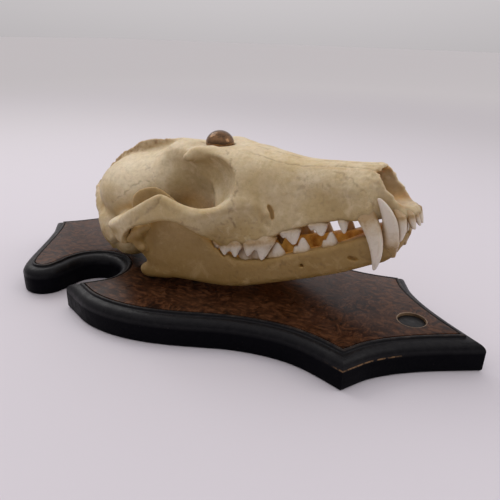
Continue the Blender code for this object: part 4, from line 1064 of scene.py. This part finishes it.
def bone_look(name, pale, tan, ochre, gloss):
    """Dry bone with faint seams and pores; pale on top and ochre below and in hollows are painted light and
    shade, and the amber between the teeth is a painted glow.
    """
    look = Look(name)
    broad = look.noise(48, 5, 0.6, 0.5)
    colour = look.ramp(broad, [(0.38, tan), (0.62, pale)])
    # Painted light and shade: mix toward ochre where a surface faces down or sits low, paler on the lit top
    # of the braincase.
    colour = look.mix(look.spread(look.value("painted_shade_and_tone"), 0.05, 0.95, 0.0, 0.95), colour, ochre)
    fine = look.noise(520, 7, 0.7)
    colour = look.mix(look.spread(fine, 0.42, 0.68, 0.0, 0.26), colour,
                      tuple(0.72 * part for part in ochre))
    chalk = look.spread(look.noise(150, 6, 0.65, 0.8), 0.54, 0.7, 0.0, 0.35)
    colour = look.mix(chalk, colour, tuple(min(1.12 * part, 1.0) for part in pale))
    rough_edge = look.ramp(look.noise(380, 5, 0.7),
                           [(0.36, (0.30, 0.19, 0.09)), (0.64, (0.62, 0.49, 0.31))])
    colour = look.mix(look.spread(look.value("crest"), 0.0, 1.0, 0.0, 0.8), colour, rough_edge)
    # Painted shade: hollows and crevices that the bones close in turn amber-brown.
    colour = look.mix(look.spread(look.value("shut"), 0.15, 0.8, 0.0, 0.6), colour, (0.56, 0.34, 0.10))
    # Painted glow: amber between the tooth rows, in the nose and deep in the eye sockets, for light shining
    # through thin bone.
    amber = look.ramp(look.noise(190, 4), [(0.35, (0.27, 0.09, 0.012)), (0.65, (0.62, 0.32, 0.07))])
    colour = look.mix(look.spread(look.value("mouth"), 0.0, 1.0, 0.0, 0.9), colour, amber)
    blotches = look.spread(look.noise(88, 6, 0.7, 0.7), 0.55, 0.75, 0.0, 0.28)
    colour = look.mix(blotches, colour, tuple(0.6 * part for part in ochre))
    colour = look.mix(look.spread(look.value("stain"), 0.03, 0.9, 0.0, 0.9), colour, (0.16, 0.09, 0.04))
    pores = look.spread(look.cells(1500), 0.0, 0.3, 1.0, 0.0)
    sparse = look.spread(look.noise(120, 3), 0.48, 0.62, 0.0, 0.4)
    colour = look.mix(look.sum("MULTIPLY", pores, sparse), colour, (0.14, 0.08, 0.04))
    look.set("Base Color", colour)
    look.set("Roughness", look.spread(look.noise(240, 5), 0.3, 0.7, gloss, gloss + 0.2))
    look.set("Specular IOR Level", 0.28)
    # Painted glow: the same amber also shines as emission.
    painted_glow = look.mix(look.value("mouth"), (0.0, 0.0, 0.0), amber)
    look.set("Emission Color", painted_glow)
    look.set("Emission Strength", 0.2)
    look.set("Subsurface Weight", 0.15)
    look.set("Subsurface Radius", (1.0, 0.5, 0.22))
    look.set("Subsurface Scale", 0.002)
    grain = look.bump(look.noise(900, 6, 0.7), 0.0002, 0.4)
    pitted = look.bump(look.spread(look.cells(1900), 0.0, 0.35), 0.00008, 0.4, grain)
    fibres = look.noise(480, 4, 0.6, 0.2, look.stretched((0.2, 1, 1)))
    look.set("Normal", look.bump(fibres, 0.00014, 0.4, pitted))
    return look.material


def tooth_look():
    """Enamel: off-white, a little stained toward the gum, with fine upright cracks and painted shade where
    other teeth and bone close round it.
    """
    look = Look("enamel")
    grow = look.sum("ADD", look.value("grow"), look.spread(look.noise(300, 4), 0.3, 0.7, -0.1, 0.1))
    colour = look.ramp(grow,
                       [(0.0, (0.42, 0.28, 0.13)), (0.14, (0.58, 0.46, 0.31)), (0.34, (0.68, 0.59, 0.47)),
                              (1.0, (0.76, 0.68, 0.58))])
    cracks = look.noise(800, 3, 0.5, 0.1, look.stretched((1, 1, 0.1)))
    colour = look.mix(look.spread(cracks, 0.58, 0.74, 0.0, 0.3), colour, (0.42, 0.28, 0.15))
    # Painted shade: enamel turns brown where other teeth and bone close round it.
    colour = look.mix(look.spread(look.value("shut"), 0.25, 0.95, 0.0, 0.7), colour, (0.42, 0.25, 0.09))
    look.set("Base Color", colour)
    look.set("Roughness", look.spread(look.noise(500, 4), 0.3, 0.7, 0.22, 0.4))
    look.set("Subsurface Weight", 0.15)
    look.set("Subsurface Radius", (1.0, 0.6, 0.35))
    look.set("Subsurface Scale", 0.0015)
    look.set("Coat Weight", 0.2)
    look.set("Coat Roughness", 0.2)
    look.set("Normal", look.bump(cracks, 0.00006, 0.4))
    return look.material


def paint_look(thick):
    """Black paint on the moulding: semi-gloss, dusty, with the wood showing along worn edges."""
    look = Look("black_paint")
    height = look.height()
    upper = look.spread(height, thick - 0.0054, thick - 0.0038)
    dust = look.spread(look.noise(420, 8, 0.78, 0.3), 0.42, 0.72, 0.08, 0.8)
    dusty = look.sum("MULTIPLY", dust, look.spread(upper, 0.0, 1.0, 0.25, 1.0))
    colour = look.mix(dusty, (0.0022, 0.0022, 0.0036), (0.012, 0.0115, 0.0130))
    specks = look.spread(look.cells(420), 0.02, 0.07, 1.0, 0.0)
    rare = look.spread(look.noise(70, 2), 0.55, 0.62, 0.0, 0.6)
    colour = look.mix(look.sum("MULTIPLY", specks, rare), colour, (0.12, 0.11, 0.10))
    line = look.sum("ABSOLUTE", look.sum("SUBTRACT", height, thick - MOULDING_DROP / 1000), 0.0)
    worn = look.sum("MULTIPLY", look.spread(line, 0.00012, 0.0004, 1.0, 0.0),
                    look.spread(look.noise(260, 6, 0.65), 0.44, 0.54))
    corner = look.spread(look.distance(WORN_CORNER), 0.009, 0.016, 1.0, 0.0)
    colour = look.mix(look.sum("MULTIPLY", worn, corner), colour, (0.26, 0.15, 0.07))
    bead = look.spread(height, thick - 0.0005, thick - 0.0001)
    rubbed = look.spread(look.noise(160, 5, 0.7), 0.46, 0.62, 0.0, 0.45)
    colour = look.mix(look.sum("MULTIPLY", bead, rubbed), colour, (0.07, 0.05, 0.036))
    look.set("Base Color", colour)
    look.set("Roughness", look.spread(look.noise(340, 6, 0.7), 0.3, 0.75, 0.26, 0.52))
    look.set("Specular IOR Level", look.spread(upper, 0.0, 1.0, 0.025, 0.16))
    brush = look.bump(look.noise(420, 6, 0.65, 0.4), 0.0003, 0.4)
    look.set("Normal", look.bump(look.noise(1500, 4), 0.00008, 0.5, brush))
    return look.material


def veneer_look():
    """Dark burl veneer under varnish, with swirls, eyes and small blotches."""
    look = Look("burl_veneer")
    swirl = look.noise(40, 6, 0.62, 2.0)
    colour = look.ramp(swirl, [(0.30, (0.014, 0.005, 0.002)), (0.45, (0.036, 0.012, 0.005)),
                               (0.58, (0.055, 0.021, 0.009)), (0.72, (0.020, 0.007, 0.003))])
    curl = look.noise(26, 3, 0.5, 1.5)
    flecks = look.noise(560, 4, 0.6, 0.5, look.stretched((0.42, 1, 1)))
    streaks = look.noise(300, 5, 0.62, 2.4, look.stretched((0.8, 0.55, 1)))
    figure = look.mix(look.spread(curl, 0.4, 0.6), flecks, streaks)
    colour = look.mix(look.spread(figure, 0.5, 0.6, 0.0, 0.85), colour, (0.105, 0.043, 0.019))
    colour = look.mix(look.spread(figure, 0.36, 0.48, 0.9, 0.0), colour, (0.007, 0.003, 0.002))
    eyes = look.spread(look.cells(230), 0.05, 0.2, 0.7, 0.0)
    colour = look.mix(eyes, colour, (0.009, 0.004, 0.003))
    look.set("Base Color", colour)
    look.set("Roughness", look.spread(look.noise(210, 6, 0.7), 0.3, 0.75, 0.24, 0.42))
    look.set("Specular IOR Level", 0.12)
    look.set("Coat Weight", 0.015)
    look.set("Coat Roughness", 0.2)
    look.set("Normal", look.bump(look.noise(300, 6, 0.6, 0.8), 0.00008, 0.3))
    return look.material


def bronze_look():
    """Dark polished bronze with patches of tarnish; copper brown toward its rim and darker toward its top
    is a painted reflection.
    """
    look = Look("bronze")
    # Painted reflection: the dome darkens toward its top and stays copper brown toward its rim.
    crown = look.spread(look.height(), 0.0688, 0.0718, 0.0, 0.45)
    tarnish_and_painted_top = look.sum("ADD", look.spread(look.noise(420, 6, 0.65), 0.42, 0.7, 0.0, 0.6), crown)
    look.set("Base Color", look.mix(tarnish_and_painted_top, (0.27, 0.15, 0.075), (0.04, 0.027, 0.019)))
    look.set("Metallic", 0.95)
    look.set("Roughness", look.spread(look.noise(700, 5), 0.3, 0.7, 0.1, 0.26))
    look.set("Normal", look.bump(look.noise(260, 3), 0.00025, 0.35))
    return look.material


def plug_look():
    """The plug: near-black, matt, with faint grain."""
    look = Look("plug_black")
    look.set("Base Color", look.mix(look.noise(300, 6, 0.7), (0.002, 0.002, 0.003), (0.010, 0.010, 0.011)))
    look.set("Specular IOR Level", 0.25)
    look.set("Roughness", look.spread(look.noise(500, 5), 0.3, 0.7, 0.35, 0.6))
    look.set("Normal", look.bump(look.noise(900, 5), 0.00015, 0.5))
    return look.material


def rim_look():
    """Bare wood at the edge of the plug's hole."""
    look = Look("hole_rim")
    look.set("Base Color",
             look.ramp(look.noise(400, 5), [(0.35, (0.10, 0.06, 0.035)), (0.65, (0.28, 0.18, 0.10))]))
    look.set("Roughness", look.spread(look.noise(800, 4), 0.3, 0.7, 0.4, 0.6))
    return look.material


def floor_look():
    """Pale seamless paper with a painted pool of light: brightest near the object, dimmest about half a
    metre out and a little lighter again far away.
    """
    look = Look("pale_floor")
    reach = look.spread(look.distance((0, 0, 0)), 0.0, 2.0)
    # Painted light: the paper's colour falls off with distance from the object.
    paper = look.ramp(reach, [(0.07, FLOOR_NEAR), (0.3, FLOOR_MIDDLE), (0.55, FLOOR_FAR)], smooth=True)
    look.set("Base Color", paper)
    look.set("Roughness", look.spread(look.noise(60, 3), 0.3, 0.7, 0.8, 0.9))
    look.set("Specular IOR Level", 0.1)
    return look.material


def from_rings(name, rings):
    """A closed stack of rings of points, in millimetres, with flat ends."""
    bm = bmesh.new()
    rows = [[bm.verts.new(Vector(point) / 1000) for point in ring] for ring in rings]
    for upper, lower in zip(rows, rows[1:]):
        for i, vert in enumerate(upper):
            k = (i + 1) % len(upper)
            bm.faces.new((vert, upper[k], lower[k], lower[i]))
    bm.faces.new(rows[0])
    bm.faces.new(reversed(rows[-1]))
    bmesh.ops.recalc_face_normals(bm, faces=bm.faces)
    mesh = bpy.data.meshes.new(name)
    bm.to_mesh(mesh)
    bm.free()
    obj = bpy.data.objects.new(name, mesh)
    bpy.context.scene.collection.objects.link(obj)
    return obj


def fine_board_profile():
    """The board's edge with its rounded bead, hollow step and quarter-round, offset and height."""
    top = BOARD_THICK
    side = MOULDING_WIDTH - EDGE_INSET
    shoulder = top - MOULDING_DROP
    ledge = BEAD_WIDTH + 0.6
    profile = [(TOUCH_GAP, top - VENEER_THICK - TOUCH_GAP), (TOUCH_GAP, top - 0.15)]
    profile += [(BEAD_WIDTH / 2 - 0.55 * math.cos(turn) + 0.12, top - 0.3 + 0.3 * math.sin(turn))
                for turn in (math.radians(18 * step) for step in range(1, 10))]
    profile += [(BEAD_WIDTH + 0.05, top - BEAD_STEP + 0.12), (BEAD_WIDTH + 0.16, top - BEAD_STEP),
                (ledge - 0.1, top - BEAD_STEP - 0.06)]
    for step in range(13):
        turn = math.radians(90 * step / 12)
        profile.append((ledge + (side - ledge) * math.sin(turn),
                        shoulder + (top - BEAD_STEP - 0.1 - shoulder) * math.cos(turn)))
    profile += [(side, 1.0), (side - 0.08, 0.6), (side - 0.28, 0.22), (side - 0.6, 0.0)]
    return profile


def ring_at(outline, offset, height):
    return [(x, y, height) for x, y in offset_outline(outline, offset)]


def round_bar(name, radius, low, high, sides=96):
    """A closed round bar at the plug's place, its upper edge softened."""
    rings = []
    for inset, height in ((0.0, low), (0.0, high - 0.25), (0.08, high - 0.07), (0.28, high)):
        angles = [math.tau * i / sides for i in range(sides)]
        rings.append([(PLUG_X + (radius - inset) * math.cos(a), (radius - inset) * math.sin(a), height)
                      for a in angles])
    return from_rings(name, rings[::-1])


def open_hole(obj, cutter):
    hole = obj.modifiers.new("Hole", "BOOLEAN")
    hole.object = cutter
    graph = bpy.context.evaluated_depsgraph_get()
    mesh = bpy.data.meshes.new_from_object(obj.evaluated_get(graph))
    obj.modifiers.clear()
    obj.data = mesh


def settle(obj, look, slot, *nodes):
    """Finish a piece: smooth shading, material, body, and hide the nodes it stands for; slot is not used.
    """
    obj.data.materials.clear()
    obj.data.materials.append(look)
    obj.data.shade_smooth()
    obj.data.set_sharp_from_angle(angle=math.radians(38))
    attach(obj, "root")
    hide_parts(*nodes)


def make_plaque():
    """Board, veneer, plug and the hole's rim."""
    outline = plaque_outline(OUTLINE_DETAIL)
    board = from_rings("board",
                       [ring_at(outline, offset, height) for offset, height in fine_board_profile()])
    top = BOARD_THICK
    veneer = from_rings("veneer", [ring_at(outline, -0.25, top), ring_at(outline, -0.08, top - 0.04),
                                   ring_at(outline, 0.0, top - 0.18),
                                   ring_at(outline, 0.0, top - VENEER_THICK)])
    plug_top = top - PLUG_RECESS
    cutter = round_bar("cutter", PLUG_WIDTH / 2 + TOUCH_GAP, plug_top - PLUG_DEPTH - TOUCH_GAP, top + 5)
    open_hole(board, cutter)
    open_hole(veneer, cutter)
    bpy.data.objects.remove(cutter)
    plug = round_bar("plug", PLUG_WIDTH / 2, plug_top - PLUG_DEPTH, plug_top)
    settle(board, paint_look(top / 1000), "black_paint", "plaque_board")
    settle(veneer, veneer_look(), "burl_veneer", "plaque_veneer")
    settle(plug, plug_look(), "plug_black", "hanger_plug")
    wall = PLUG_WIDTH / 2 + TOUCH_GAP
    section = [(wall - 0.02, top - 1.1), (wall - 0.28, top - 1.1), (wall - 0.3, top - 0.1),
               (wall - 0.16, top + 0.02),
               (wall + 0.1, top + 0.04), (wall - 0.02, top - 0.1)]
    turned("hole_rim", section, True, (PLUG_X, 0, 0), rim_look())


def turned(name, profile, closed, place, look):
    """Turn a profile, in millimetres, about the upright axis through a place."""
    mesh = bpy.data.meshes.new(name)
    edges = [(i, i + 1) for i in range(len(profile) - 1)]
    if closed:
        edges.append((len(profile) - 1, 0))
    mesh.from_pydata([(x / 1000, 0, z / 1000) for x, z in profile], edges, [])
    obj = bpy.data.objects.new(name, mesh)
    bpy.context.scene.collection.objects.link(obj)
    turn = obj.modifiers.new("Turn", "SCREW")
    turn.steps = DOME_SIDES
    turn.render_steps = DOME_SIDES
    turn.use_merge_vertices = True
    turn.merge_threshold = 0.000001
    turn.use_normal_calculate = True
    graph = bpy.context.evaluated_depsgraph_get()
    obj.data = bpy.data.meshes.new_from_object(obj.evaluated_get(graph))
    obj.modifiers.clear()
    obj.data.transform(Matrix.Translation(Vector(place) / 1000))
    obj.data.materials.append(look)
    obj.data.shade_smooth()
    obj.data.set_sharp_from_angle(angle=math.radians(38))
    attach(obj, "root")
    return obj


def make_dome():
    """The domed head over the crown, with its nail."""
    half = DOME_WIDTH / 2
    profile = [(0.0, DOME_HEIGHT)]
    for step in range(1, 19):
        turn = math.radians(90 * step / 18)
        profile.append((half * math.sin(turn), 0.5 + (DOME_HEIGHT - 0.5) * math.cos(turn)))
    profile += [(half, 0.2), (half - 0.08, 0.06), (half - 0.3, 0.0), (NAIL_WIDTH / 2, 0.0),
                (NAIL_WIDTH / 2, 1.2 - NAIL_LENGTH), (0.0, -NAIL_LENGTH)]
    place = skull_to_part() @ Vector((DOME_X, 0, DOME_SEAT_Z)) * 1000
    dome = turned("dome", profile, False, place, bronze_look())
    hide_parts("mount_dome")


def make_skull():
    """The cranium and jaws, each bone and each tooth a piece of its own."""
    cranium = build_cranium_field(BONE_CELL)
    jaw = build_mandible_field(BONE_CELL)
    upper = all_teeth(upper_teeth(), BONE_CELL)
    lower = all_teeth(lower_teeth(), BONE_CELL)
    whole = Block(cranium.low, (6, 42, 42), BONE_CELL)
    whole.field = np.minimum(cranium.field, upper.field)
    shut_jaw(jaw, whole)
    blocks = (cranium, jaw, upper, lower)
    # The cranium's bone is the lit copy; the jaws get a darker, warmer copy of it as painted shade under
    # the cranium.
    bone = bone_look("bone", (0.79, 0.67, 0.46), (0.64, 0.50, 0.275), (0.355, 0.23, 0.075), 0.4)
    jaw_bone = bone_look("jaw_bone", (0.54, 0.385, 0.185), (0.43, 0.285, 0.11), (0.285, 0.17, 0.048), 0.4)
    skull = field_object("cranium_bone", cranium, True)
    dress_bone(skull, cranium, (cranium, jaw), cranium_detail, upper)
    place_in_row(skull)
    skull.data.materials.append(bone)
    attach(skull, "root")
    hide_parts("cranium")
    for side in ("left", "right"):
        piece = field_object(f"jaw_bone_{side}", jaw, False)
        dress_bone(piece, jaw, (cranium, jaw), jaw_detail, lower)
        place_in_row(piece, side == "right")
        piece.data.materials.append(jaw_bone)
        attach(piece, "root")
        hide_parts(f"mandible_{side}")
    enamel = tooth_look()
    make_teeth("upper", upper_teeth(), blocks, None, enamel)
    make_teeth("lower", lower_teeth(), blocks, whole, enamel)


# Colours and strengths of the light
WORN_CORNER = (0.0775, -0.0285, 0.0079)
# Painted light on the floor: paper colours near the object, midway and far out.
FLOOR_NEAR = (0.705, 0.677, 0.722)
FLOOR_MIDDLE = (0.60, 0.58, 0.60)
FLOOR_FAR = (0.675, 0.66, 0.662)
SKY_LEAN = (-0.175, 0.303, 1.0)
SKY = [(0.0, 0.10), (0.26, 0.26), (0.52, 0.54), (0.78, 0.84), (1.0, 1.0)]
SKY_TINT = (1.0, 0.955, 0.975)


def make_light():
    """A pale sky that is bright overhead and behind the object, and dim behind the camera."""
    world = bpy.data.worlds.new("studio")
    bpy.context.scene.world = world
    world.use_nodes = True
    tree = world.node_tree
    lean = tree.nodes.new("ShaderNodeVectorMath")
    lean.operation = "DOT_PRODUCT"
    tree.links.new(tree.nodes.new("ShaderNodeTexCoord").outputs["Generated"], lean.inputs[0])
    lean.inputs[1].default_value = SKY_LEAN
    share = tree.nodes.new("ShaderNodeMapRange")
    share.inputs["From Min"].default_value = -0.35
    share.inputs["From Max"].default_value = 1.0
    tree.links.new(lean.outputs["Value"], share.inputs["Value"])
    ramp = tree.nodes.new("ShaderNodeValToRGB")
    marks = ramp.color_ramp.elements
    while len(marks) < len(SKY):
        marks.new(0.5)
    for mark, (place, bright) in zip(marks, SKY):
        mark.position = place
        mark.color = (*(bright * part for part in SKY_TINT), 1.0)
    tree.links.new(share.outputs["Result"], ramp.inputs["Fac"])
    tree.links.new(ramp.outputs["Color"], tree.nodes["Background"].inputs["Color"])
    lamp("key", (-0.52, 0.12, 0.56), 0.4, 1.3, (1.0, 0.985, 0.96))
    lamp("side", (0.75, 0.25, 0.55), 0.4, 0.7, (1.0, 0.98, 0.96))


def lamp(name, place, size, power, colour):
    data = bpy.data.lights.new(name, "AREA")
    data.size = size
    data.energy = power
    data.color = colour
    light = bpy.data.objects.new(name, data)
    light.location = place
    light.rotation_euler = (Vector((0, 0, 0.03)) - Vector(place)).to_track_quat("-Z", "Y").to_euler()
    bpy.context.scene.collection.objects.link(light)


def make_floor():
    mesh = bpy.data.meshes.new("floor")
    reach = 6.0
    mesh.from_pydata([(-reach, -reach, 0), (reach, -reach, 0), (reach, reach, 0), (-reach, reach, 0)], [],
                     [(0, 1, 2, 3)])
    floor = bpy.data.objects.new("floor", mesh)
    bpy.context.scene.collection.objects.link(floor)
    mesh.materials.append(floor_look())


def make_camera():
    """The photo's camera: its place, its slope down, its turn to the left and its slight roll."""
    ahead = Vector((-math.sin(CAMERA_LEFT) * math.cos(CAMERA_DOWN),
                    math.cos(CAMERA_LEFT) * math.cos(CAMERA_DOWN),
                    -math.sin(CAMERA_DOWN)))
    across = Vector((math.cos(CAMERA_LEFT), math.sin(CAMERA_LEFT), 0))
    down = ahead.cross(across)
    c, s = math.cos(CAMERA_ROLL), math.sin(CAMERA_ROLL)
    right = c * across - s * down
    below = s * across + c * down
    data = bpy.data.cameras.new("camera")
    data.lens = LENS
    data.sensor_width = SENSOR
    data.clip_start = 0.01
    camera = bpy.data.objects.new("camera", data)
    turn = Matrix((right, -below, -ahead)).transposed().to_4x4()
    camera.matrix_world = Matrix.Translation(CAMERA_PLACE) @ turn
    bpy.context.scene.collection.objects.link(camera)
    bpy.context.scene.camera = camera


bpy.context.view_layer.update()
make_skull()
make_plaque()
make_dome()
make_floor()
make_light()
make_camera()
bpy.context.scene.view_settings.view_transform = "Standard"
